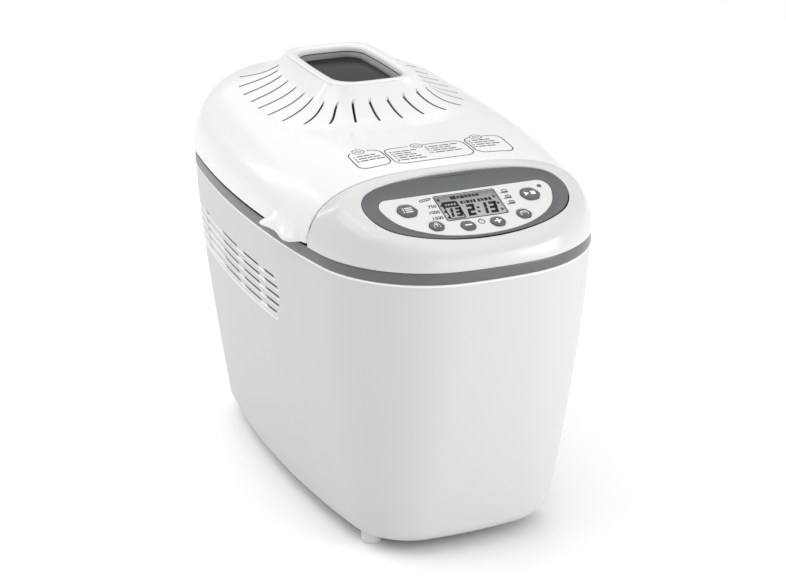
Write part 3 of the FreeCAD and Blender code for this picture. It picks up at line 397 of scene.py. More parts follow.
# print colour, also used for the painted shade border round the display
M_PRINT_AND_SHADE = material("print_dark", (0.035, 0.036, 0.038), 0.55, 0.06, 900.0, 0.05, 900.0)
M_SEG = material("lcd_segment", (0.003, 0.003, 0.004), 0.4, 0.1, 900.0, specular=0.2)
M_LED = material("status_lens", (0.03, 0.032, 0.03), 0.2, 0.1, 900.0, coat=0.5)
M_FOOT = material("foot_grey", (0.62, 0.62, 0.61), 0.6, 0.05, 900.0, 0.3, 900.0)
M_BLACK = material("black_plastic", (0.025, 0.025, 0.026), 0.5, 0.15, 150.0, 0.2, 900.0)
M_RUBBER = material("rubber_black", (0.02, 0.02, 0.02), 0.75, 0.2, 200.0, 0.3, 700.0)
M_STEEL = material("brushed_steel", (0.55, 0.55, 0.56), 0.32, 0.08, 60.0, 0.15, 400.0, metallic=1.0, stretch=(1.0, 1.0, 12.0))
M_SHEET = material("sheet_metal", (0.60, 0.61, 0.62), 0.38, 0.06, 40.0, 0.1, 500.0, metallic=1.0, stretch=(1.0, 6.0, 1.0))
M_LINER = material("liner_metal", (0.58, 0.59, 0.60), 0.42, 0.05, 40.0, 0.1, 500.0, metallic=1.0, stretch=(6.0, 1.0, 1.0))
M_COAT = material("nonstick_coat", (0.045, 0.046, 0.048), 0.42, 0.25, 500.0, 0.5, 1800.0, metallic=0.3)
M_BRASS = material("brass", (0.62, 0.44, 0.18), 0.3, 0.06, 200.0, metallic=1.0)
M_ELEM = material("element_sheath", (0.13, 0.12, 0.115), 0.5, 0.15, 120.0, 0.3, 900.0, metallic=0.8)
M_CERAM = material("ceramic", (0.72, 0.69, 0.62), 0.3, 0.04, 200.0)
M_BOARD = material("circuit_board", (0.03, 0.12, 0.06), 0.45, 0.15, 300.0, 0.3, 900.0)
M_IRON = material("motor_iron", (0.16, 0.16, 0.17), 0.5, 0.1, 120.0, 0.3, 900.0, metallic=0.8)
M_FRAME = material("window_trim", (0.175, 0.178, 0.182), 0.38, 0.05, 900.0, 0.1, 1200.0)
# painted shade: the lid's white plastic in a darker copy for the inside wall of the chimney and the inner ends of the
# slot floors
M_WALL_SHADE = material("chimney_wall", (0.66, 0.66, 0.656), 0.4, 0.03, 900.0, 0.08, 1200.0)


def glass_material():
    m = material("window_glass", (0.012, 0.0124, 0.013), 0.14, 0.06, 300.0, rough_spread=0.03, specular=0.04)
    bs = m.node_tree.nodes["Principled BSDF"]
    bs.inputs["Transmission Weight"].default_value = 0.08
    bs.inputs["IOR"].default_value = 1.45
    return m


M_GLASS = glass_material()


def lcd_material():
    """Reflective display: grey field with painted shade, darker to the upper edge, fine pixel ruling."""
    m = bpy.data.materials.new("lcd_field")
    m.use_nodes = True
    nt = m.node_tree
    bs = nt.nodes["Principled BSDF"]
    bs.inputs["Roughness"].default_value = 0.3
    bs.inputs["Coat Weight"].default_value = 0.5
    bs.inputs["Coat Roughness"].default_value = 0.05
    co = nt.nodes.new("ShaderNodeTexCoord")
    sep = nt.nodes.new("ShaderNodeSeparateXYZ")
    nt.links.new(co.outputs["Object"], sep.inputs[0])
    mr = nt.nodes.new("ShaderNodeMapRange")
    mr.inputs["From Min"].default_value = -0.1685
    mr.inputs["From Max"].default_value = -0.1430
    nt.links.new(sep.outputs["Y"], mr.inputs["Value"])
    # painted shade: the field runs from grey at the lower edge to near-black at the upper edge
    ramp = nt.nodes.new("ShaderNodeValToRGB")
    e = ramp.color_ramp.elements
    e[0].position, e[0].color = 0.0, (0.38, 0.385, 0.38, 1)
    e[1].position, e[1].color = 1.0, (0.055, 0.056, 0.057, 1)
    k = e.new(0.70)
    k.color = (0.26, 0.265, 0.262, 1)
    nt.links.new(mr.outputs["Result"], ramp.inputs["Fac"])
    wv = nt.nodes.new("ShaderNodeTexNoise")
    wv.inputs["Scale"].default_value = 900.0
    nt.links.new(co.outputs["Object"], wv.inputs["Vector"])
    mx = nt.nodes.new("ShaderNodeMix")
    mx.data_type = "RGBA"
    mx.blend_type = "MULTIPLY"
    mx.inputs["Factor"].default_value = 0.12
    nt.links.new(ramp.outputs["Color"], mx.inputs[6])
    nt.links.new(wv.outputs["Fac"], mx.inputs[7])
    nt.links.new(mx.outputs[2], bs.inputs["Base Color"])
    return m


M_LCD = lcd_material()

NODE_MATS = {
    M_BODY_SHADE: ["body_housing"], M_WHITE: ["lid_shell"], M_CTRL_SHADE: ["control_housing"],
    M_FASCIA: ["panel_fascia"], M_GREY: ["trim_band"], M_BEZEL: ["panel_bezel"], M_FRAME: ["window_frame"],
    M_KEY: ["menu_button", "start_stop_button", "weight_button", "crust_button", "minus_button", "plus_button"],
    M_GLASS: ["window_glass"], M_LCD: ["lcd_window", "lcd_module"], M_LED: ["status_light"],
    M_BOARD: ["control_board", "power_board"],
    M_BLACK: ["key_switches", "cord_gland", "hinge_bracket", "motor_fan", "motor_pulley", "driven_pulley_front",
              "driven_pulley_rear", "run_capacitor", "base_plate"],
    M_FOOT: ["rubber_feet"],
    M_RUBBER: ["drive_belt", "link_belt", "window_gasket", "motor_mounts"],
    M_STEEL: ["base_screws", "board_screws", "lid_screws", "hinge_pins", "pan_shaft_front", "pan_shaft_rear",
              "drive_coupling_front", "drive_coupling_rear", "shaft_bearings", "element_clips", "temperature_probe",
              "chamber_spacers", "pan_handle"],
    M_SHEET: ["baking_chamber", "chassis_plate", "pan_seat", "top_deck"],
    M_LINER: ["lid_liner"],
    M_COAT: ["bread_pan", "kneading_paddle_front", "kneading_paddle_rear", "pan_foot_ring"],
    M_BRASS: ["pan_bushes"], M_ELEM: ["heating_element"], M_CERAM: ["element_insulators"],
    M_IRON: ["motor_stator", "motor_rotor"],
}
for mat, names in NODE_MATS.items():
    for n in names:
        me = NODES[n].data
        me.materials.clear()
        me.materials.append(mat)

# ================================================================== body housing
ROW_Z = [194.7, 187.2, 179.7, 172.1, 164.6]        # rows of side slots
LIP_Z = 158.9
ROW_FRONT = [-58.0, -63.0, -64.4, -62.6, -55.5]    # front end of each row
SLOT_ENDS = [(None, [-39.0, -38.5, -38.0, -37.0, -36.5]),
             ([-27.8, -27.6, -26.9, -26.2, -25.4], [3.6, 4.8, 5.9, 7.3, 7.7]),
             ([17.8, 17.9, 18.3, 19.3, 19.5], [54.1, 54.7, 55.6, 56.0, 57.3]),
             ([98.0, 99.0, 100.0, 100.6, 101.0], [112.0, 112.0, 112.0, 112.0, 112.0])]


def row_value(vals, z):
    """Value between the rows, for a height z."""
    if z >= ROW_Z[0]:
        return vals[0]
    if z <= ROW_Z[-1]:
        return vals[-1]
    for a in range(4):
        if ROW_Z[a + 1] <= z <= ROW_Z[a]:
            t = (ROW_Z[a] - z) / (ROW_Z[a] - ROW_Z[a + 1])
            return vals[a] + (vals[a + 1] - vals[a]) * t


def body_outline(z):
    zr = FOOT_H + BASE_R
    w = 0.0
    if z >= zr:
        k = (BAND_Z0 - z) / (BAND_Z0 - zr)
    else:
        k = 1.0
        w = BASE_R - math.sqrt(max(BASE_R ** 2 - (zr - z) ** 2, 0.0))
    return k, w


def body_data(k, w):
    q = max(k, 0.0) ** 1.37
    d, df, db = 1.0 + 22.94 * q + w, 1.0 + 31.9 * q + w, 1.0 + 28.0 * q + w
    B = HALF_D - (df + db) / 2.0
    o = outline_data(HALF_W - d, B, R_FRONT - d, R_BACK - d, R_SIDE - d,
                     RC_FRONT - d - 13.09 * k, RC_BACK - d - 13.09 * k)
    return o, (df - db) / 2.0


# columns of the right half: (kind, value)
COLS = [("f", i / 8) for i in range(8)] + [("cf", i / 18) for i in range(18)] + [("s0", i / 9) for i in range(9)]
COLS += [("rowend", -1.6), ("rowend", -0.8), ("rowend", 0.0), ("rowend", 0.7), ("rowend", 1.5), ("rowend", 3.0)]
for g, (a, b) in enumerate(SLOT_ENDS):
    if a is not None:
        COLS += [("slot", (g, 0, -1.2)), ("slot", (g, 0, -0.35)), ("slot", (g, 0, 0.0)), ("slot", (g, 0, 0.6))]
    COLS += [("mid", (g, t)) for t in (0.25, 0.5, 0.75)]
    COLS += [("slot", (g, 1, -0.6)), ("slot", (g, 1, 0.0)), ("slot", (g, 1, 0.35)), ("slot", (g, 1, 1.2))]
    if g < 3:
        COLS += [("gap", (g, t)) for t in (0.33, 0.66)]
COLS += [("s1", (i + 1) / 3) for i in range(2)]
COLS += [("cb", i / 20) for i in range(20)] + [("b", i / 8) for i in range(9)]


def slot_y(g, end, z):
    v = SLOT_ENDS[g][end]
    if v is None:
        return row_value(ROW_FRONT, z) + 3.0
    return row_value(v, z)


def col_point(o, yc, z, col):
    """Plan point and outward normal of one column at one section."""
    kind, val = col
    arcs = half_arcs(o)
    cf, qf, c1, qb, cb = arcs

    def on(arc_, t):
        c, r, a, b = arc_
        th = a + (b - a) * t
        return (c[0] + r * math.cos(th), c[1] + r * math.sin(th) + yc), (math.cos(th), math.sin(th))

    if kind == "f":
        return on(cf, val)
    if kind == "cf":
        return on(qf, val)
    if kind == "cb":
        return on(qb, val)
    if kind == "b":
        return on(cb, val)
    (c, r, a, b) = c1
    y_lo, y_hi = c[1] + r * math.sin(a) + yc, c[1] + r * math.sin(b) + yc
    y_first = row_value(ROW_FRONT, z) - 1.6
    y_last = slot_y(3, 1, z) + 1.2
    if kind == "s0":
        y = y_lo + (y_first - y_lo) * val
    elif kind == "rowend":
        y = row_value(ROW_FRONT, z) + val
    elif kind == "slot":
        y = slot_y(val[0], val[1], z) + val[2]
    elif kind == "mid":
        ya, yb = slot_y(val[0], 0, z), slot_y(val[0], 1, z)
        y = ya + (yb - ya) * val[1]
    elif kind == "gap":
        ya, yb = slot_y(val[0], 1, z), slot_y(val[0] + 1, 0, z)
        y = ya + (yb - ya) * val[1]
    else:
        y = y_last + (y_hi - y_last) * val
    th = math.asin(max(min((y - yc - c[1]) / r, 1.0), -1.0))
    return (c[0] + r * math.cos(th), y), (math.cos(th), math.sin(th))


def groove_amount(col):
    """0 where a row has no groove, 1 inside it; second value 1 inside a through slot."""
    kind, val = col
    if kind in ("f", "cf", "s0", "b"):
        return 0.0, 0.0
    if kind == "rowend":
        return {-1.6: 0.0, -0.8: 0.0, 0.0: 0.35, 0.7: 0.85, 1.5: 1.0, 3.0: 1.0}[val], 1.0 if val >= 3.0 else 0.0
    if kind == "slot":
        g, end, off = val
        inside = (off > 0.1) if end == 0 else (off < -0.1)
        return 1.0, 1.0 if inside else 0.0
    if kind == "mid":
        return 1.0, 1.0
    if kind == "cb":
        return min(max((0.92 - val) / 0.12, 0.0), 1.0), 0.0
    return 1.0, 0.0


# heights: (z, depth in a groove, depth in a slot)
LEVELS = []
zr = FOOT_H + BASE_R
for i in range(9):
    a = PI / 2 * (1 - i / 8.0)
    LEVELS.append((zr - BASE_R * math.sin(a), 0, 0))
for z in (28, 40, 54, 70, 86, 102, 118, 132, 144, 151, 155.5):
    LEVELS.append((float(z), 0, 0))
LIP_ROWS = [len(LEVELS) + 1, len(LEVELS) + 2]
LEVELS += [(LIP_Z - 1.6, 0, 0), (LIP_Z - 0.9, -0.22, -0.22), (LIP_Z - 0.45, -0.16, -0.16), (LIP_Z + 0.4, 0.7, 0.7), (LIP_Z + 1.5, 0.25, 0.25), (LIP_Z + 2.1, 0, 0)]
for i in range(4, -1, -1):
    z = ROW_Z[i]
    LIP_ROWS += [len(LEVELS) + 1, len(LEVELS) + 2]
    LEVELS += [(z - 2.9, 0.0, 0.0), (z - 2.5, -0.24, -0.24), (z - 2.05, -0.18, -0.18), (z - 1.2, 0.75, 1.0), (z - 1.05, 0.9, 4.5),
               (z + 0.85, 0.12, 4.5), (z + 0.95, 0.1, 0.1), (z + 1.5, 0.0, 0.0)]
for z in (200.5, 206.0, 213.0, 220.0, 224.0, 226.0):
    LEVELS.append((z, 0, 0))
rings, slotmask = [], []
half_n = len(COLS)


def mirror_ring(half):
    """Right half front-to-back, then the left half back-to-front."""
    return half + [(-x, y, z) for (x, y, z) in half[-2:0:-1]]


for (z, dg, ds) in LEVELS:
    k, w = body_outline(z)
    o, yc = body_data(k, w)
    half = []
    for col in COLS:
        (x, y), (nx, ny) = col_point(o, yc, z, col)
        ga, sl = groove_amount(col)
        dep = ga * (dg + (ds - dg) * sl)
        half.append((x - nx * dep, y - ny * dep, z))
    rings.append(mirror_ring(half))
# rolled upper lip that carries the trim band
for (z, off) in ((226.9, 0.0), (227.5, -0.35), (227.9, -0.62), (228.3, -0.62), (228.6, -0.35), (228.75, 0.1), (228.8, 0.8), (228.8, 4.0)):
    k, w = body_outline(min(z, BAND_Z0))
    o, yc = body_data(max(k, 0.0), w)
    half = []
    for col in COLS:
        (x, y), (nx, ny) = col_point(o, yc, z, col)
        half.append((x - nx * off, y - ny * off, z))
    rings.append(mirror_ring(half))
# turned-in lower edge round the base plate
low = []
for (wx, z) in ((BASE_R + 3.0, 8.6), (BASE_R + 3.0, 6.3), (BASE_R + 2.6, 6.0)):
    o, yc = body_data(1.0, wx)
    low.append(mirror_ring([(*col_point(o, yc, FOOT_H, c)[0], z) for c in COLS]))
rings = low + rings
nl = len(low)
cols_full = COLS + COLS[-2:0:-1]
n_slot_rows = {}
for idx, (z, dg, ds) in enumerate(LEVELS):
    n_slot_rows[idx + nl] = ds > 2.0


def body_face(i, j):
    a, b = cols_full[j], cols_full[(j + 1) % len(cols_full)]
    deep_rows = n_slot_rows.get(i, False) or n_slot_rows.get(i + 1, False)
    # painted highlight on the rolled top lip under the trim band
    if i >= nl + len(LEVELS):
        return 2 if i < len(rings) - 2 else 0
    # painted highlight on the lower lip of each vent groove
    if i - nl in LIP_ROWS and groove_amount(a)[0] + groove_amount(b)[0] > 1.0:
        return 2
    if not deep_rows:
        return 0
    in_a, in_b = groove_amount(a)[1], groove_amount(b)[1]
    if n_slot_rows.get(i, False) and n_slot_rows.get(i + 1, False) and (in_a or in_b):
        return 1
    if in_a and in_b:
        return 1
    return 0


rings_object("body_shell", rings, [M_BODY_SHADE, M_SLOT, M_LIP_HIGHLIGHT], "base", face_mat=body_face, sharp=42.0,
             slot="white_shell", replaces=("body_housing",))

# ================================================================== trim band
BANDCOLS = [("f", i / 14) for i in range(14)] + [("cf", i / 26) for i in range(26)] + [("side", i / 34) for i in range(34)] \
    + [("cb", i / 26) for i in range(26)] + [("b", i / 14) for i in range(15)]


def band_ring(d, z):
    o = band_outline(d)
    arcs = dict(zip(("f", "cf", "side", "cb", "b"), half_arcs(o)))
    half = []
    for (kind, t) in BANDCOLS:
        c, r, a, b = arcs[kind]
        th = a + (b - a) * t
        half.append((c[0] + r * math.cos(th), c[1] + r * math.sin(th), z))
    return mirror_ring(half)


prof = [(6.0, 228.75), (1.5, 228.75), (1.05, 228.85), (0.85, 229.2), (0.75, 231.0), (0.72, 233.4), (0.75, 235.8), (0.82, 237.3),
        (1.0, 237.7), (1.3, 237.8)]
rings_object("trim_band_ring", [band_ring(d, z) for d, z in prof], [M_GREY], "base", sharp=50.0,
             slot="grey_trim", replaces=("trim_band",))
# painted shade: near-black strip in the gap between the trim band and the lid's lower edge, standing in for its shadow
prof = [(1.3, 237.8), (1.45, 237.35), (4.6, 237.3), (4.8, 239.6), (5.4, 239.6), (5.6, 234.0)]
rings_object("band_seal", [band_ring(d, z) for d, z in prof], [M_GAP_SHADE], "base", sharp=40.0, slot="rubber")

# ================================================================== lid
SLOTS = [((9.2, -11.8), (7.2, 5.2)), ((28.5, -10.2), (20.6, 5.9)), ((48.8, -5.8), (32.6, 8.8)),
         ((66.8, 3.5), (43.0, 16.5)), ((77.5, 21.0), (48.5, 29.5)), ((81.5, 43.0), (50.0, 46.3)),
         ((82.3, 63.5), (50.0, 65.0)), ((82.2, 82.0), (49.8, 83.5)), ((81.5, 101.0), (49.4, 99.5)),
         ((79.0, 120.0), (48.3, 111.0)), ((71.0, 140.8), (45.2, 117.5))]
SEAM_L, SEAM_C = -116.6, -117.4


def half_width(y, d=0.0):
    lo, hi = 0.0, HALF_W + 5.0
    for _ in range(50):
        m = (lo + hi) / 2
        if inset(m, y) > d:
            lo = m
        else:
            hi = m
    return lo


# right half of the lid's edge: along the seam from x=0, then round the outline to the middle of the back
XS = half_width(SEAM_L)
edge = [(XS * i / 60, SEAM_L) for i in range(60)]
o = BAND
pts = []
for (c, r, a, b) in half_arcs(o):
    n = max(int(r * abs(b - a) / 0.5), 4)
    pts += [(c[0] + r * math.cos(a + (b - a) * i / n), c[1] + r * math.sin(a + (b - a) * i / n)) for i in range(n)]
pts.append((0.0, HALF_D))
edge.append((XS, SEAM_L))
edge += [p for p in pts if p[1] > SEAM_L + 0.3]
cum = [0.0]
for a, b in zip(edge, edge[1:]):
    cum.append(cum[-1] + math.hypot(b[0] - a[0], b[1] - a[1]))
S_CORNER = cum[60]


def edge_at(s):
    s = min(max(s, 0.0), cum[-1])
    lo, hi = 0, len(cum) - 1
    while hi - lo > 1:
        m = (lo + hi) // 2
        if cum[m] <= s:
            lo = m
        else:
            hi = m
    t = (s - cum[lo]) / (cum[hi] - cum[lo]) if cum[hi] > cum[lo] else 0.0
    return (edge[lo][0] + (edge[hi][0] - edge[lo][0]) * t, edge[lo][1] + (edge[hi][1] - edge[lo][1]) * t)


def edge_s_near(p, d):
    """Arc length on the edge where the ray p + t*d leaves."""
    best = (1e9, 0.0)
    L = math.hypot(*d)
    for s, q in zip(cum, edge):
        vx, vy = q[0] - p[0], q[1] - p[1]
        if vx * d[0] + vy * d[1] <= 0:
            continue
        off = abs(vx * d[1] - vy * d[0]) / L
        if off < best[0]:
            best = (off, s)
    return best[1]


def s_of_y(y):
    """Arc length on the right outline at height y along the side."""
    best = (1e9, 0.0)
    for s, q in zip(cum, edge):
        if s >= S_CORNER and q[0] > 60 and abs(q[1] - y) < best[0]:
            best = (abs(q[1] - y), s)
    return best[1]


guides = []
for (O, I) in SLOTS:
    eO, eI = flare_e(*O), flare_e(*I)
    fO = rr_fraction(O[0], O[1] - CH_Y, *ring_size(eO))
    fI = rr_fraction(I[0], I[1] - CH_Y, *ring_size(eI))
    s = edge_s_near(O, (O[0] - I[0], O[1] - I[1]))
    guides.append(dict(s=s, eO=eO, eI=eI, fO=fO, fI=fI))
start = dict(s=0.0, eO=guides[0]["eO"], eI=guides[0]["eI"], fO=0.0, fI=0.0)
end = dict(s=cum[-1], eO=0.8, eI=0.2, fO=0.5, fI=0.5)
# columns: parameters between guides, with sideways offsets at a slot
LIDCOLS = []


def mix(a, b, t):
    c = {k: a[k] + (b[k] - a[k]) * t for k in ("s", "eO", "eI", "fO", "fI")}
    c["pair"] = (a, b, t)
    return c


def add_between(a, b, fr):
    for t in fr:
        LIDCOLS.append((mix(a, b, t), 0.0, 0))


seq = [start] + guides + [end]
for i in range(len(seq) - 1):
    a, b = seq[i], seq[i + 1]
    if i == 0:
        LIDCOLS.append((a, 0.0, 0))
    else:
        hw = (0.86, 0.84, 0.82, 0.80)[min(i - 1, 3)]
        for off, code in ((-1.9, 1), (-hw - 0.18, 2), (-hw, 3), (hw, 3), (hw + 0.18, 2), (1.9, 1)):
            LIDCOLS.append((a, off, code))
    if i == 3:
        # the long stretch round the front corner: dense along the lift tab
        want = [b["s"] * 0 + a["s"] + (S_CORNER - a["s"]) * t for t in (0.14, 0.28, 0.42, 0.55, 0.66, 0.76, 0.84, 0.90, 0.94, 0.965, 0.982, 0.993)]
        want += [S_CORNER]
        yy = [-116.0, -115.0, -113.5, -112.0, -111.0]
        y = -110.0
        while y < -53.0:
            yy.append(y)
            y += 1.0
        yy += [-51.0, -48.0, -44.0, -40.0]
        want += [s_of_y(v) for v in yy]
        want = sorted(w for w in set(want) if a["s"] + 1.0 < w < b["s"] - 1.0)
        for w in want:
            LIDCOLS.append((mix(a, b, (w - a["s"]) / (b["s"] - a["s"])), 0.0, 0))
    elif i == len(seq) - 2:
        want = [a["s"] + (b["s"] - a["s"]) * (j + 1) / 34.0 for j in range(33)]
        for xn in (64.0, 56.0):
            sn, s_hi = min(s_ for s_, q in zip(cum, edge) if q[1] > 150.0), cum[-1]
            for _ in range(50):
                s_mid = (sn + s_hi) / 2
                if edge_at(s_mid)[0] > xn:
                    sn = s_mid
                else:
                    s_hi = s_mid
            want = [w for w in want if abs(w - sn) > 1.2] + [sn - 0.08, sn + 0.08]
        for w in sorted(want):
            LIDCOLS.append((mix(a, b, (w - a["s"]) / (b["s"] - a["s"])), 0.0, 0))
    else:
        n = max(int((b["s"] - a["s"]) / 6.0), 3)
        add_between(a, b, [(j + 1) / (n + 1) for j in range(n)])
LIDCOLS.append((end, 0.0, 0))
NCH = len(LIDCOLS)


def col_f(c, e):
    """Fraction round the chimney ring for a column at flare value e."""
    if "pair" in c:
        # between two slots: keep clear of the slots' own columns
        a, b, t = c["pair"]
        hx, hy, r = ring_size(e)
        gap = 2.3 / (4 * (hx + hy) - 8 * r + 2 * PI * r)
        fa = col_f(a, e) + (gap if a is not start else 0.0)
        fb = col_f(b, e) - (gap if b is not end else 0.0)
        return fa + (fb - fa) * t
    if e <= c["eI"]:
        return c["fI"]
    t = (e - c["eI"]) / max(c["eO"] - c["eI"], 1e-6)
    return c["fI"] + (c["fO"] - c["fI"]) * min(t, 1.15)


def flare_point(c, e, off=0.0):
    f = col_f(c, e)
    hx, hy, r = ring_size(e)
    x, y = rr_point(hx, hy, r, f)
    if off:
        a, b = rr_point(hx, hy, r, f - 0.002), rr_point(hx, hy, r, f + 0.002)
        L = math.hypot(b[0] - a[0], b[1] - a[1])
        x, y = x + (b[0] - a[0]) / L * off, y + (b[1] - a[1]) / L * off
    return x, y + CH_Y


def flare_z(x, y, e):
    c = crown_z(x, y)
    return c + (RIM_Z - c) * (1.0 - e) ** 2.6


# outward bulge of the lift tab along the lid's lower edge
TAB_Y = [-109.5, -107.5, -105.5, -103.0, -99.0, -94.0, -88.0, -82.0, -77.0, -73.0, -70.0, -67.0, -64.0, -61.5, -59.5, -58.0, -56.5]
TAB_OUT = [0.0, 1.6, 4.4, 7.2, 8.6, 8.4, 7.2, 6.2, 6.6, 8.0, 9.6, 10.8, 10.6, 8.4, 4.6, 1.4, 0.0]
TAB_DZ = [0.0, -0.3, -0.7, -1.1, -1.5, -1.5, -1.0, -0.3, 0.3, 0.8, 1.1, 1.3, 1.3, 1.1, 0.7, 0.3, 0.0]
TAB_TOP = [0.0, 3.0, 8.0, 12.0, 15.5, 17.5, 18.0, 17.0, 15.0, 12.5, 10.5, 8.5, 6.5, 5.0, 3.5, 2.0, 0.0]


def table(xs, vs, x):
    """Smooth curve through the listed values, without overshoot."""
    if x <= xs[0]:
        return vs[0]
    if x >= xs[-1]:
        return vs[-1]
    i = max(k for k in range(len(xs) - 1) if xs[k] <= x)

    def slope(k):
        if k == 0 or k == len(xs) - 1:
            return 0.0
        a, b = (vs[k] - vs[k - 1]) / (xs[k] - xs[k - 1]), (vs[k + 1] - vs[k]) / (xs[k + 1] - xs[k])
        return 0.0 if a * b <= 0 else 2 * a * b / (a + b)

    h = xs[i + 1] - xs[i]
    t = (x - xs[i]) / h
    return ((2 * t ** 3 - 3 * t * t + 1) * vs[i] + (t ** 3 - 2 * t * t + t) * h * slope(i)
            + (3 * t * t - 2 * t ** 3) * vs[i + 1] + (t ** 3 - t * t) * h * slope(i + 1))


LID_Z0 = 239.9
NEDGE, NWALL, NREST = 9, 12, 11
WALL_H = [2.2, 3.8, 5.8, 8.2, 11.0, 14.5, 18.5, 23.0, 28.0, 33.0, 37.5, 41.5]


def lid_foot(x, y):
    """Height of the lid's lower edge: raised over the hinge at the back."""
    if y > 192.0 and abs(x) < 56.0:
        return 257.3
    if y > 192.0 and abs(x) < 64.0:
        return 246.8
    return LID_Z0


def build_lid():
    cols_pts = []
    codes = []
    for (c, off, code) in LIDCOLS:
        x0, y0 = edge_at(c["s"])
        on_seam = c["s"] < S_CORNER - 1e-6
        p_f = flare_point(c, 1.0, off)
        L = math.hypot(p_f[0] - x0, p_f[1] - y0)
        col = []
        out, top, zb, nx, ny = 0.0, 1.0, LID_Z0, 0.0, 0.0
        if on_seam:
            z0 = max(lid_z(x0, y0 + 0.6), zb + 1.6)
            col += [(x0, y0 + 4.0, zb + 3.0), (x0, y0 + 3.6, zb + 0.8), (x0, y0 + 1.6, zb + 0.1), (x0, y0 + 0.3, zb),
                    (x0, y0, zb + 0.35), (x0, y0, z0 - 0.95), (x0, y0 + 0.12, z0 - 0.45), (x0, y0 + 0.4, z0 - 0.12),
                    (x0, y0 + 0.8, lid_z(x0, y0 + 0.8))]
            t_here = 0.8 / (p_f[1] - y0)
        else:
            g = 0.5
            nx, ny = inset(x0 - g, y0) - inset(x0 + g, y0), inset(x0, y0 - g) - inset(x0, y0 + g)
            k = math.hypot(nx, ny)
            nx, ny = nx / k, ny / k
            out = table(TAB_Y, TAB_OUT, y0)
            top = max(table(TAB_Y, TAB_TOP, y0), 0.01)
            zb = lid_foot(x0, y0) + table(TAB_Y, TAB_DZ, y0)
            t_here = 0.0
            lo, hi = 0.0, 0.75
            for _ in range(34):
                m = (lo + hi) / 2
                if lid_z(x0 + (p_f[0] - x0) * m, y0 + (p_f[1] - y0) * m) < zb:
                    lo = m
                else:
                    hi = m
            if zb > LID_Z0 + 3:
                t_here = lo
            xb, yb = x0 + (p_f[0] - x0) * t_here, y0 + (p_f[1] - y0) * t_here
            for (d, h) in ((4.0, 3.0), (3.6, 0.8), (1.6, 0.1), (0.7, 0.0), (0.22, 0.25), (0.08, 0.55), (0.03, 0.9), (0.0, 1.3), (0.0, 1.7)):
                z = zb + h
                lift = out * max(1.0 - max(h - 2.2, 0.0) / top, 0.0) ** 2.0 if out > 0 else 0.0
                lift *= 1.0 if d < 1.0 else 0.45
                col.append((xb + nx * (lift - d), yb + ny * (lift - d), z))
        for h in WALL_H:
            z = LID_Z0 + h
            lo, hi = t_here, 0.78
            for _ in range(34):
                m = (lo + hi) / 2
                if lid_z(x0 + (p_f[0] - x0) * m, y0 + (p_f[1] - y0) * m) < z:
                    lo = m
                else:
                    hi = m
            t_here = lo
            x, y = x0 + (p_f[0] - x0) * lo, y0 + (p_f[1] - y0) * lo
            lift = out * max(1.0 - max(z - zb - 2.2, 0.0) / top, 0.0) ** 2.0 if out > 0 else 0.0
            col.append((x + nx * lift, y + ny * lift, max(z, zb + 1.75) if not on_seam else lid_z(x, y)))
        for i in range(1, NREST + 1):
            t = t_here + (1.0 - t_here) * (i / NREST)
            x, y = x0 + (p_f[0] - x0) * t, y0 + (p_f[1] - y0) * t
            col.append((x, y, lid_z(x, y)))
        # flare with the slots
        eO, eI = c["eO"], c["eI"]
        es = [(0.96 if eO < 0.93 else eO + 0.03, 0), (eO + 0.035, 0), (eO + 0.012, 1), (eO - 0.006, 2)]
        es += [(eO - 0.006 - (eO - eI - 0.055) * i / 7.0, 3) for i in range(1, 8)]
        es += [(eI + 0.022, 4), (eI + 0.006, 5), (eI - 0.008, 1), (eI - 0.022, 0)]
        es += [(eI - 0.022 - (eI - 0.022) * i / 7.0, 0) for i in range(1, 8)]
        for (e, rowcode) in es:
            e = max(e, 0.0)
            x, y = flare_point(c, e, off)
            z = flare_z(x, y, e)
            if code == 3 and rowcode in (2, 3, 4, 5):
                dep = {2: 2.6, 3: 3.4, 4: 1.8, 5: 0.7}[rowcode]
                z -= dep
            elif code == 2 and rowcode in (2, 3, 4, 5):
                z -= 0.12
            col.append((x, y, z))
        # rolled rim and inner wall of the chimney
        f = col_f(c, 0.0)
        for (hx, hy, r, z) in ((37.5, 63.0, 18.6, 316.45), (36.6, 62.1, 18.0, 316.9), (35.4, 60.8, 17.6, 317.0), (33.6, 58.8, 17.2, 317.0),
                               (31.6, 56.4, 16.6, 316.75), (30.2, 54.8, 16.0, 316.2), (29.3, 53.8, 15.4, 315.4),
                               (28.8, 53.3, 15.1, 314.3), (28.6, 53.1, 15.0, 313.0), (28.5, 53.0, 15.0, 311.9), (28.5, 53.0, 15.0, 308.0)):
            x, y = rr_point(hx, hy, r, f)
            bow = 1.0
            x += 1.8 * bow * (1 - (y / hy) ** 2) * (1 if x > 0 else -1) * (abs(x) / hx)
            y += bow * (1 - (x / hx) ** 2) * (1 if y > 0 else -1) * (abs(y) / hy)
            col.append((x, y + CH_Y, z))
        cols_pts.append(col)
        codes.append(code)
    nrow = len(cols_pts[0])
    assert all(len(c) == nrow for c in cols_pts), sorted(set(len(c) for c in cols_pts))
    rows = [mirror_ring([cols_pts[j][i] for j in range(NCH)]) for i in range(nrow)]
    cf = codes + codes[-2:0:-1]
    flare0 = NEDGE + NWALL + NREST
    # the front slots lean a little to the left towards the rim
    for i in range(flare0, flare0 + len(es)):
        for j, (x, y, z) in enumerate(rows[i]):
            if y > 26.0 or abs(x) > 60.0:
                continue
            e = flare_e(x, y)
            w = min(max((0.62 - e) / 0.40, 0.0), 1.0) * min(e / 0.20, 1.0)
            w *= min(max((26.0 - y) / 20.0, 0.0), 1.0) * min(max((60.0 - abs(x)) / 22.0, 0.0), 1.0)
            x2 = x - 4.3 * w
            rows[i][j] = (x2, y, z + lid_z(x2, y) - lid_z(x, y))

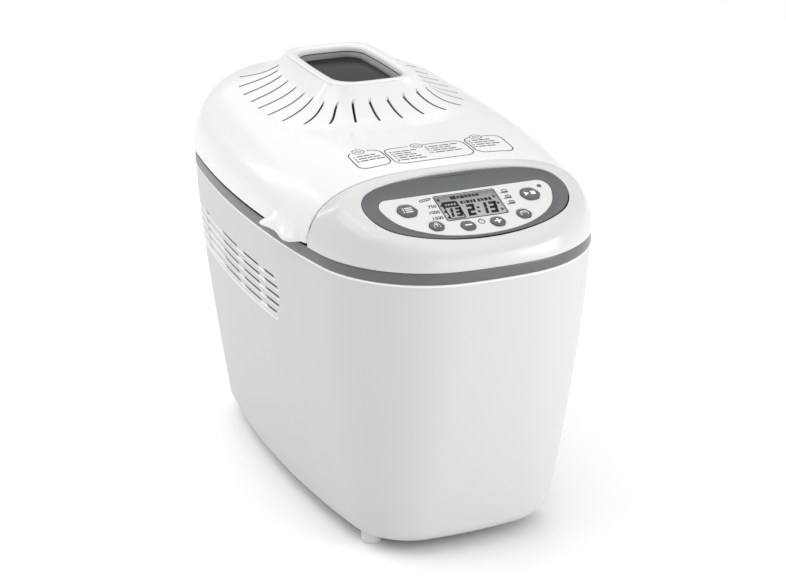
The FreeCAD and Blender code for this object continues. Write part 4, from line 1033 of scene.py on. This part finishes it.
    def fm(i, j):
        a, b = cf[j], cf[(j + 1) % len(cf)]
        if a + b >= 5 and max(a, b) == 3 and min(a, b) >= 2 and flare0 + 2 <= i <= flare0 + 12:
            # painted shade on the slot walls
            if a != b:
                return 3
            # the slot floors get the slot shadow, their inner ends the painted wall shade
            return 1 if i <= flare0 + 10 else 2
        # painted shade on the chimney's inner wall
        if i >= nrow - 4:
            return 2
        return 0

    return rings_object("lid_cover", rows, [M_WHITE, M_SLOT, M_WALL_SHADE, M_SLOTWALL_SHADE], "lid", face_mat=fm, sharp=44.0,
                        slot="white_shell", replaces=("lid_shell",))


LID = build_lid()

# window trim: stepped ring round the glass
trim = []
for (hx, hy, r, z) in ((28.4, 52.9, 14.9, 311.9), (28.3, 52.8, 14.8, 311.3), (27.6, 52.1, 14.2, 311.1), (27.2, 51.7, 13.9, 311.0), (25.6, 50.1, 12.6, 309.4),
                       (25.2, 49.7, 12.2, 308.9), (25.0, 49.5, 12.0, 307.45)):
    ring = []
    for i in range(160):
        x, y = rr_point(hx, hy, r, i / 160.0)
        x += 1.8 * (1 - (y / hy) ** 2) * (1 if x > 0 else -1) * (abs(x) / hx)
        y += 1.0 * (1 - (x / hx) ** 2) * (1 if y > 0 else -1) * (abs(y) / hy)
        ring.append((x, y + CH_Y, z))
    trim.append(ring)
# painted shade: the outermost band of the trim is near-black, standing in for the shadow in its joint with the chimney
# wall
rings_object("window_trim_ring", trim, [M_FRAME, M_GAP_SHADE], "lid", face_mat=lambda i, j: 1 if i == 0 else 0, sharp=40.0,
             slot="window_trim", replaces=("window_frame",))

# ================================================================== control housing
BEZEL_PTS = [(0.0, -1.2), (22.0, -1.6), (51.0, -4.6), (67.5, -8.4), (77.2, -16.2), (80.4, -28.0), (77.2, -43.0),
             (67.5, -55.8), (50.0, -65.2), (30.0, -70.8), (12.0, -73.3), (0.0, -73.7)]
FASCIA_PTS = [(0.0, -18.7), (30.0, -18.7), (59.0, -18.7), (64.6, -20.6), (67.6, -26.0), (66.6, -34.5), (62.8, -43.6), (54.5, -53.2),
              (38.0, -63.0), (20.0, -68.0), (0.0, -69.6)]


def smooth_half(pts, n):
    """Closed smooth curve through a half outline and its mirror image: n points of the right half."""
    full = pts + [(-u, v) for (u, v) in pts[-2:0:-1]]
    m = len(full)
    dense = []
    for i in range(len(pts) - 1):
        p0, p1, p2, p3 = (full[(i + k) % m] for k in (-1, 0, 1, 2))
        for s in range(24):
            t = s / 24.0

            def cr(a, b, c, d):
                return 0.5 * (2 * b + (c - a) * t + (2 * a - 5 * b + 4 * c - d) * t * t + (3 * b - a - 3 * c + d) * t ** 3)
            dense.append((cr(p0[0], p1[0], p2[0], p3[0]), cr(p0[1], p1[1], p2[1], p3[1])))
    dense.append(pts[-1])
    L = [0.0]
    for a, b in zip(dense, dense[1:]):
        L.append(L[-1] + math.hypot(b[0] - a[0], b[1] - a[1]))
    out = []
    for i in range(n):
        s = L[-1] * i / (n - 1)
        k = max(j for j in range(len(L)) if L[j] <= s + 1e-9)
        k = min(k, len(L) - 2)
        t = (s - L[k]) / (L[k + 1] - L[k])
        out.append((dense[k][0] + (dense[k + 1][0] - dense[k][0]) * t, dense[k][1] + (dense[k + 1][1] - dense[k][1]) * t))
    return out


NB = 72
BZ = smooth_half(BEZEL_PTS, NB)
FZ = smooth_half(FASCIA_PTS, NB)
# edge of the housing, right half: along the seam from x=0, then round the front outline to x=0
XC = half_width(SEAM_C)
c_edge = [(XC * i / 40, SEAM_C) for i in range(40)] + [(XC, SEAM_C)]
front = [p for p in pts if p[1] < SEAM_C - 0.3]
c_edge += front[::-1]
c_cum = [0.0]
for a, b in zip(c_edge, c_edge[1:]):
    c_cum.append(c_cum[-1] + math.hypot(b[0] - a[0], b[1] - a[1]))


def c_edge_at(s):
    s = min(max(s, 0.0), c_cum[-1])
    k = 0
    for k in range(len(c_cum) - 1):
        if c_cum[k + 1] >= s:
            break
    t = (s - c_cum[k]) / (c_cum[k + 1] - c_cum[k]) if c_cum[k + 1] > c_cum[k] else 0.0
    return (c_edge[k][0] + (c_edge[k + 1][0] - c_edge[k][0]) * t, c_edge[k][1] + (c_edge[k + 1][1] - c_edge[k][1]) * t)


# the seam corner belongs to one bezel column
J_CORNER = 28


def lip_height(j):
    """Bezel edge against the housing, which is sunk along the top and a little proud round the bottom: this returns
    0.0 everywhere.
    """
    return 0.0


c_cols = []
for j in range(NB):
    if j <= J_CORNER:
        s = c_cum[40] * (j / J_CORNER)
    else:
        s = c_cum[40] + (c_cum[-1] - c_cum[40]) * (j - J_CORNER) / (NB - 1 - J_CORNER)
    x0, y0 = c_edge_at(s)
    u, v = BZ[j]
    px, py, _ = pan(u, v, 0.0)
    col = []
    on_seam = j < J_CORNER
    if on_seam:
        z0 = crown_z(x0, y0 - 0.6)
        z0 = max(z0, 239.6)
        col += [(x0, y0 - 2.2, 236.4), (x0, y0, 236.4), (x0, y0, (z0 + 236.4) / 2), (x0, y0, z0 - 1.0), (x0, y0 - 0.12, z0 - 0.45),
                (x0, y0 - 0.4, z0 - 0.12), (x0, y0 - 0.8, crown_z(x0, y0 - 0.8))]
        for i in range(1, 17):
            t = 0.03 + 0.97 * (i / 16.0)
            x, y = x0 + (px - x0) * t, y0 + (py - y0) * t
            col.append((x, y, crown_z(x, y)))
    else:
        g = 0.5
        nx, ny = inset(x0 - g, y0) - inset(x0 + g, y0), inset(x0, y0 - g) - inset(x0, y0 + g)
        k = math.hypot(nx, ny)
        nx, ny = nx / k, ny / k
        for (d, z) in ((4.0, 238.4), (1.2, 238.0), (0.55, 237.85), (0.15, 238.1), (0.0, 238.7)):
            col.append((x0 - nx * d, y0 - ny * d, z))
        top = crown_z(px, py)
        t_here = 0.0
        for i in range(1, 11):
            z = 238.7 + (top - 0.4 - 238.7) * (i / 11.0) ** 0.9
            lo, hi = 0.0, 1.0
            for _ in range(34):
                m = (lo + hi) / 2
                x, y = x0 + (px - x0) * m, y0 + (py - y0) * m
                if crown_z(x, y) < z:
                    lo = m
                else:
                    hi = m
            t_here = lo
            x, y = x0 + (px - x0) * lo, y0 + (py - y0) * lo
            col.append((x, y, crown_z(x, y)))
        for i in range(1, 9):
            t = t_here + (1.0 - t_here) * i / 8.0
            x, y = x0 + (px - x0) * t, y0 + (py - y0) * t
            col.append((x, y, crown_z(x, y)))
    # rolled edge of the panel opening
    ux, vx = u, v + 40.0
    L = math.hypot(ux, vx)
    ax, ay = -ux / L, -vx / L
    zt = crown_z(px, py)
    for (d, dz) in ((0.25, -0.08), (0.45, -0.35), (0.5, -1.0), (0.5, -5.0)):
        x, y, _ = pan(u + ax * d, v + ay * d)
        col.append((x, y, zt + dz))
    c_cols.append(col)
nrow = len(c_cols[0])
assert all(len(c) == nrow for c in c_cols), sorted(set(len(c) for c in c_cols))
rows = [mirror_ring([c_cols[j][i] for j in range(NB)]) for i in range(nrow)]
rings_object("control_cover", rows, [M_CTRL_SHADE], "base", flip=True, sharp=44.0, slot="white_shell", replaces=("control_housing",))

# painted shade: a near-black strip set into the joint between the lid and the control housing, standing in for its
# shadow
seam = []
for (y, dz) in ((SEAM_C - 0.6, -1.6), (SEAM_C + 0.02, -0.75), (SEAM_C + 0.62, -0.75), (SEAM_C + 0.66, -1.1), (SEAM_C - 0.6, -2.0)):
    seam.append([(XC * k / 60.0 * 0.995, y, max(crown_z(XC * abs(k) / 60.0 * 0.995, SEAM_C - 0.8), 241.0) + dz) for k in range(-60, 61)])
rings_object("seam_lip", seam, [M_SLOT], "base", closed=False, flip=True, sharp=40.0, slot="rubber")

# ================================================================== bezel and fascia
b_rows = []
for (t, sag) in ((-0.06, -5.0), (-0.06, -1.2), (-0.02, -0.25), (0.03, 0.0), (0.12, -0.25), (0.25, -0.55), (0.42, -0.75), (0.6, -0.7), (0.78, -0.45), (0.9, -0.15), (0.97, 0.0), (1.0, -0.25), (1.0, -2.5)):
    half = []
    for j in range(NB):
        (u0, v0), (u1, v1) = BZ[j], FZ[j]
        L = math.hypot(u0, v0 + 40.0)
        gap = 0.75 + 1.25 * min(max((-30.0 - v0) / 26.0, 0.0), 1.0)
        u0, v0 = u0 * (1 - gap / L), (v0 + 40.0) * (1 - gap / L) - 40.0
        tt = max(t, 0.0)
        u, v = u0 + (u1 - u0) * tt, v0 + (v1 - v0) * tt
        px, py, pz = pan(u0, v0)
        w0 = (crown_z(px, py) - pz) * CT            # housing surface over the panel plane at the outer edge
        w0 = min(max(w0, 0.35), 3.4)
        wide = math.hypot(u1 - u0, v1 - v0)
        ease = (1 - tt) ** 1.6
        w = 0.35 + (w0 - 0.35) * ease + sag * min(wide / 9.0, 1.6) * (1.0 if sag > -1 else 1.0)
        half.append(pan(u, v, w))
    b_rows.append(mirror_ring(half))
rings_object("panel_bezel_ring", b_rows, [M_BEZEL], "base", flip=True, sharp=50.0, slot="grey_trim", replaces=("panel_bezel",))

# painted shade: near-black strip under the bezel's outer edge, standing in for the shadow line round it
g_rows = []
for (d, w) in ((0.35, -0.9), (1.2, -1.0), (3.2, -1.0)):
    half = []
    for (u, v) in BZ:
        L = math.hypot(u, v + 40.0)
        u, v = u * (1 - d / L), (v + 40.0) * (1 - d / L) - 40.0
        px, py, pz = pan(u, v)
        half.append(pan(u, v, min(max((crown_z(px, py) - pz) * CT, 0.35), 3.4) + w))
    g_rows.append(mirror_ring(half))
rings_object("panel_gap", g_rows, [M_GAP_SHADE], "base", flip=True, sharp=40.0, slot="black_plastic")

# ================================================================== keys
BUTTONS = {
    "menu_button": ("menu_key", -48.7, -33.9, 7.2), "start_stop_button": ("start_stop_key", 48.7, -33.9, 7.2),
    "weight_button": ("weight_key", -34.4, -54.4, 5.3), "crust_button": ("crust_key", 34.4, -54.4, 5.3),
    "minus_button": ("minus_key", -11.6, -58.7, 5.3), "plus_button": ("plus_key", 11.6, -58.7, 5.3)}


def hexish(r, a):
    return r * (1.0 + 0.022 * math.cos(6 * a))


KEY_TOP = 0.75


def key_w(r, du, dv):
    q = min((du * du + dv * dv) / (r * r), 1.0)
    return KEY_TOP + 0.40 * (1.0 - q)


for node, (body, u, v, r) in BUTTONS.items():
    rows = []
    for (k, w) in ((1.0, -3.0), (1.0, 0.12), (0.985, 0.40), (0.95, 0.62), (0.9, None), (0.75, None), (0.55, None), (0.3, None), (0.02, None)):
        ring = []
        for i in range(48):
            a = 2 * PI * i / 48
            q = hexish(r, a) * k
            du, dv = q * math.cos(a), q * math.sin(a)
            ring.append(pan(u + du, v + dv, key_w(r, du, dv) if w is None else w))
        rows.append(ring)
    rings_object(node + "_cap", rows, [M_KEY], body, sharp=50.0, slot="key_grey", replaces=(node,))
    # pale ring let into the fascia round the key
    rows = []
    for (dr, w) in ((0.42, -1.5), (0.42, 0.10), (0.55, 0.16), (0.95, 0.16), (1.1, 0.08), (1.15, -0.2)):
        rows.append([pan(u + (hexish(r, 2 * PI * i / 48) + dr) * math.cos(2 * PI * i / 48),
                         v + (hexish(r, 2 * PI * i / 48) + dr) * math.sin(2 * PI * i / 48), w) for i in range(48)])
    rings_object(node + "_ring", rows, [M_RING], "base", flip=True, sharp=50.0, slot="fascia_white")
    # white mark on the key
    F = Flat(lambda a, b, l, u=u, v=v, r=r: pan(u + a, v + b, key_w(r, a, b) + 0.05 + l))
    if node == "menu_button":
        for k, b in enumerate((2.1, 0.0, -2.1)):
            F.bar(-3.6, -2.5, b - 0.45, b + 0.45)
            F.bar(-1.7, 3.9, b - 0.45, b + 0.45, n=4)
    elif node == "start_stop_button":
        F.poly([(-4.4, -2.3), (-0.9, 0.0), (-4.4, 2.3)])
        F.bar(0.5, 4.2, -1.9, 1.9, n=3)
    elif node == "weight_button":
        F.stroke([(-2.5, -1.9), (2.5, -1.9), (1.9, 1.0), (-1.9, 1.0)], 0.5, True)
        F.circle(0.0, 2.0, 0.85, 0.5, n=16)
        F.bar(-0.3, 0.3, -1.3, 0.4)
    elif node == "crust_button":
        loaf = [(-2.9, -1.6), (2.9, -1.6), (2.9, 0.2), (2.5, 1.2), (1.5, 1.7), (-1.5, 1.7), (-2.5, 1.2), (-2.9, 0.2)]
        F.stroke(loaf, 0.55, True)
        for a in (-1.4, 0.0, 1.4):
            F.stroke([(a - 0.4, -0.2), (a + 0.4, 1.0)], 0.4)
    elif node == "minus_button":
        F.bar(-2.7, 2.7, -0.55, 0.55, n=4)
    else:
        F.bar(-2.7, 2.7, -0.6, 0.6, n=5)
        F.bar(-0.6, 0.6, 0.6, 2.7)
        F.bar(-0.6, 0.6, -2.7, -0.6)
    F.make(node + "_mark", M_ICON, body, slot="fascia_white")

# ================================================================== display
LU, LV1, LV0 = 23.2, -22.9, -49.9


def lcd_place(u, v, l):
    return pan(u, v, -0.28 + l)


rows = []
for (d, w) in ((0.0, -2.0), (0.0, -0.55), (0.12, -0.36), (0.4, -0.3), (6.0, -0.3), (10.0, -0.3), (13.45, -0.3)):
    r = max(1.2 - d, 0.15)
    ring = []
    hx, hy = LU - d, (LV1 - LV0) / 2 - d
    for i in range(64):
        x, y = rr_point(hx, max(hy, 0.05), min(r, max(hy, 0.05)), i / 64.0)
        ring.append(pan(x, (LV0 + LV1) / 2 + y, w))
    rows.append(ring)
rings_object("display_face", rows, [M_LCD], "base", sharp=40.0, slot="lcd", replaces=("lcd_window",))

SEGS = {"0": "abcdef", "1": "bc", "2": "abged", "3": "abgcd", "4": "fgbc", "5": "afgcd", "6": "afgedc", "7": "abc", "8": "abcdefg", "9": "abcdfg"}


def digit(F, ch, u, v, w, h, t, th):
    """Seven-segment numeral in a cell with its lower left corner at u, v; leans to the right."""
    def box(x0, x1, y0, y1):
        F.poly([(u + x + (y - h / 2) * 0.2, v + y) for (x, y) in ((x0, y0), (x1, y0), (x1, y1), (x0, y1))])
    m, g = h / 2, 0.15
    seg = {"a": (g, w - g, h - th, h), "g": (g, w - g, m - th / 2, m + th / 2), "d": (g, w - g, 0.0, th),
           "f": (0.0, t, m + g, h - g), "b": (w - t, w, m + g, h - g), "e": (0.0, t, g, m - g), "c": (w - t, w, g, m - g)}
    for k in SEGS[ch]:
        box(*seg[k])


F = Flat(lcd_place)
F.stroke(F.rounded(-20.4, -8.9, -48.5, -29.8, 1.4), 1.05, True)
F.bar(-20.2, -9.1, -35.9, -30.0)
digit(F, "1", -20.7, -46.7, 5.0, 9.8, 2.1, 2.4)
digit(F, "3", -14.0, -46.7, 5.0, 9.8, 2.1, 2.4)
digit(F, "2", -4.8, -47.9, 6.2, 12.8, 2.4, 3.0)
F.disc(4.4, -40.0, 1.25, n=12)
F.disc(3.4, -44.4, 1.25, n=12)
digit(F, "1", 4.95, -48.1, 6.2, 12.8, 2.4, 3.0)
digit(F, "3", 12.7, -48.1, 6.2, 12.8, 2.4, 3.0)
# status bars along the top
for (u0, u1, v0, v1) in ((-11.8, -7.2, -27.6, -24.0), (-6.5, -4.6, -27.2, -24.6), (-4.0, -0.9, -27.6, -24.6), (-0.3, 2.0, -27.2, -24.6),
                         (2.6, 5.0, -27.2, -24.6), (5.6, 7.6, -27.2, -24.6), (8.2, 10.9, -27.2, -24.6),
                         (-6.3, -4.2, -33.8, -30.4), (-3.5, -2.5, -33.8, -30.4), (-1.8, 1.0, -33.8, -30.4), (1.6, 3.3, -33.8, -30.4),
                         (3.9, 5.8, -33.8, -30.4), (7.4, 9.4, -33.8, -30.4), (10.1, 12.0, -33.8, -30.4), (12.7, 15.3, -33.8, -30.4),
                         (16.0, 18.4, -33.8, -30.4)):
    F.bar(u0, u1, v0, v1)
for b in (-26.5, -33.2, -40.1, -46.8):
    F.poly([(-23.0, b), (-20.5, b - 1.9), (-20.5, b + 1.9)])
for b in (-30.4, -38.0, -45.5):
    F.poly([(22.7, b), (20.3, b + 1.9), (20.3, b - 1.9)])
F.make("display_segments", M_SEG, "base", slot="indicator")
F = Flat(lambda u, v, l: pan(u, v, -0.24))
for k in range(4):
    F.bar(-18.7 + 2.3 * k, -17.3 + 2.3 * k, -33.9, -31.9)
F.make("display_reverse_bars", M_LCD, "base", slot="lcd")

# ================================================================== marks on the fascia
F = Flat(lambda u, v, l: pan(u, v, 0.05 + l))
# long loaf mark and weights left of the display
loaf = [(-6.0, -1.1), (-4.6, -1.7), (4.6, -0.2), (6.0, 0.9), (5.2, 1.8), (-4.4, 0.6)]
F.stroke([(-31.2 + a * 0.8, -24.6 + b * 0.9) for a, b in loaf], 0.85, True)
for a in (-2.0, 0.0, 2.0):
    F.stroke([(-31.2 + a - 0.3, -24.9 + a * 0.12), (-31.2 + a + 0.4, -24.1 + a * 0.12)], 0.3)
for k, s in enumerate(("750", "1000", "1500")):
    F.text(s, -25.6, -32.8 - 6.6 * k, 4.6, align="RIGHT", squash=0.95, bold=0.13)
# three browning marks right of the display
for k in range(3):
    cx, cy = 30.6, -26.6 - 6.6 * k
    F.stroke([(cx - 3.2, cy - 1.6), (cx + 3.2, cy - 1.6)], 0.95)
    body = [(cx - 1.0, cy - 0.6), (cx + 2.8, cy - 0.6), (cx + 3.0, cy + 0.8), (cx + 2.0, cy + 1.6), (cx - 0.6, cy + 1.6), (cx - 1.3, cy + 0.6)]
    F.stroke(body, 0.8, True)
    for m in range(k):
        F.stroke([(cx + 0.1 + 1.3 * m, cy - 0.1), (cx + 0.7 + 1.3 * m, cy + 1.1)], 0.4)
# clock between the minus and plus keys
F.circle(0.0, -55.9, 2.3, 0.75, n=24)
F.stroke([(0.0, -54.4), (0.0, -55.9), (1.2, -55.5)], 0.36)
F.bar(-0.5, 0.5, -53.3, -52.7)
# painted shade: dark border round the display opening, drawn in the print colour
F.stroke(F.rounded(-24.0, 24.0, -50.5, -22.2, 1.2), 0.95, True)
F.make("fascia_marks", M_PRINT_AND_SHADE, "base", slot="key_grey")

# ================================================================== marks on the lid
F = Flat(lambda x, y, l: (x, y, lid_z(x, y) + 0.06 + l))
BOXES = [(-62.5, -36.5, -101.5, -71.0, -52.5), (-34.5, 29.5, -104.5, -73.5, -6.4), (32.0, 63.0, -103.0, -71.5, 43.6)]
NUM = 1
for (x0, x1, y0, y1, xi) in BOXES:
    ring = densify(F.rounded(x0, x1, y0, y1, 7.5), 1.5)
    # the frame stops either side of its round mark
    run = [p for p in ring if not (p[1] > y1 - 1.0 and abs(p[0] - xi) < 5.4)]
    cutat = max(range(len(run)), key=lambda i: math.hypot(run[i][0] - run[i - 1][0], run[i][1] - run[i - 1][1]))
    run = run[cutat:] + run[:cutat]
    F.stroke(run, 0.92)
    F.circle(xi, y1 - 0.4, 4.6, 0.68, n=30)
    F.stroke([(xi - 2.4, y1 - 1.6), (xi + 2.2, y1 - 1.6), (xi + 2.6, y1 - 0.2), (xi + 1.4, y1 + 1.0), (xi - 1.5, y1 + 1.0), (xi - 2.6, y1 - 0.2)], 0.62, True)
for (x0, y0, n, w) in ((-61.0, -80.4, 3, 19.5), (-32.5, -81.4, 5, 20.5), (-2.5, -79.4, 4, 25.0), (33.8, -78.8, 4, 19.5)):
    for k in range(n):
        y = y0 - 4.2 * k
        F.text(str(NUM), x0 + 2.6, y, 3.5, align="RIGHT", bold=0.09)
        NUM += 1
        L = w * (0.66 + 0.34 * ((k * 37 + int(w * 3)) % 7) / 6.0)
        # two or three short dashes stand for each line
        cuts = [0.0, 0.44 + 0.04 * (k % 3), 1.0] if L < 15.0 else [0.0, 0.34 + 0.05 * (k % 2), 0.70 - 0.04 * (k % 3), 1.0]
        for c0, c1 in zip(cuts, cuts[1:]):
            F.bar(x0 + 3.8 + L * c0 + (0.45 if c0 else 0.0), x0 + 3.8 + L * c1 - 0.45, y - 0.72, y + 0.72, n=3)
F.make("lid_marks", M_PRINT_AND_SHADE, "lid", slot="key_grey")

# ================================================================== stage
floor_me = bpy.data.meshes.new("floor")
S = 6.0
floor_me.from_pydata([(-S, -S, 0), (S, -S, 0), (S, S, 0), (-S, S, 0)], [], [(0, 1, 2, 3)])
floor = bpy.data.objects.new("floor", floor_me)
bpy.context.scene.collection.objects.link(floor)
M_FLOOR = material("floor_white", (0.955, 0.955, 0.955), 0.7, 0.005, 3.0, specular=0.2)
floor_me.materials.append(M_FLOOR)

world = bpy.data.worlds.new("studio")
bpy.context.scene.world = world
world.use_nodes = True
bg = world.node_tree.nodes["Background"]
bg.inputs[0].default_value = (1.0, 1.0, 1.0, 1.0)
bg.inputs[1].default_value = 0.72
bpy.context.scene.view_settings.view_transform = "Standard"


def aim(ob, loc, target):
    ob.location = loc
    ob.rotation_euler = (Vector(target) - Vector(loc)).to_track_quat("-Z", "Y").to_euler()
    bpy.context.scene.collection.objects.link(ob)


def area(name, loc, target, size, power, size_y=None):
    li = bpy.data.lights.new(name, "AREA")
    li.energy = power
    li.size = size
    if size_y:
        li.shape = "RECTANGLE"
        li.size_y = size_y
    aim(bpy.data.objects.new(name, li), loc, target)


def sun(name, loc, angle, power):
    li = bpy.data.lights.new(name, "SUN")
    li.energy = power
    li.angle = math.radians(angle)
    aim(bpy.data.objects.new(name, li), loc, (0.0, 0.0, 0.0))


sun("sky_top", (-0.35, 0.12, 2.0), 30.0, 0.21)
sun("sky_back", (0.1, 1.2, 1.6), 60.0, 0.61)
sun("sky_right", (1.3, 0.0, 1.6), 40.0, 0.04)
area("fill_right", (1.45, -1.55, 0.7), (0, 0, 0.15), 1.2, 21.8)
area("panel_top", (-1.0, 0.1, 1.5), (0, 0, 0.25), 1.2, 8.2)
area("fill_left", (-1.7, -0.1, 0.3), (0, 0, 0.04), 1.4, 0.3, 0.5)
area("fill_front", (0.3, -2.0, 0.4), (0, 0, 0.12), 1.6, 2.9, 0.6)
area("strip_back", (-0.92, 1.33, 1.02), (0, 0, 0.25), 0.13, 1.9, 0.9)

cam = bpy.data.cameras.new("camera")
cam.sensor_fit = "HORIZONTAL"
cam.sensor_width = 36.0
cam.lens = 1891.31 * 36.0 / 786.0
cam_ob = bpy.data.objects.new("camera", cam)
cam_ob.location = (-0.558695, -1.314016, 0.710492 + LIFT * MM)
cam_ob.rotation_euler = (Vector((0.00651, 0.0, 0.14084 + LIFT * MM)) - cam_ob.location).to_track_quat("-Z", "Y").to_euler()
bpy.context.scene.collection.objects.link(cam_ob)
bpy.context.scene.camera = cam_ob

bpy.context.view_layer.update()
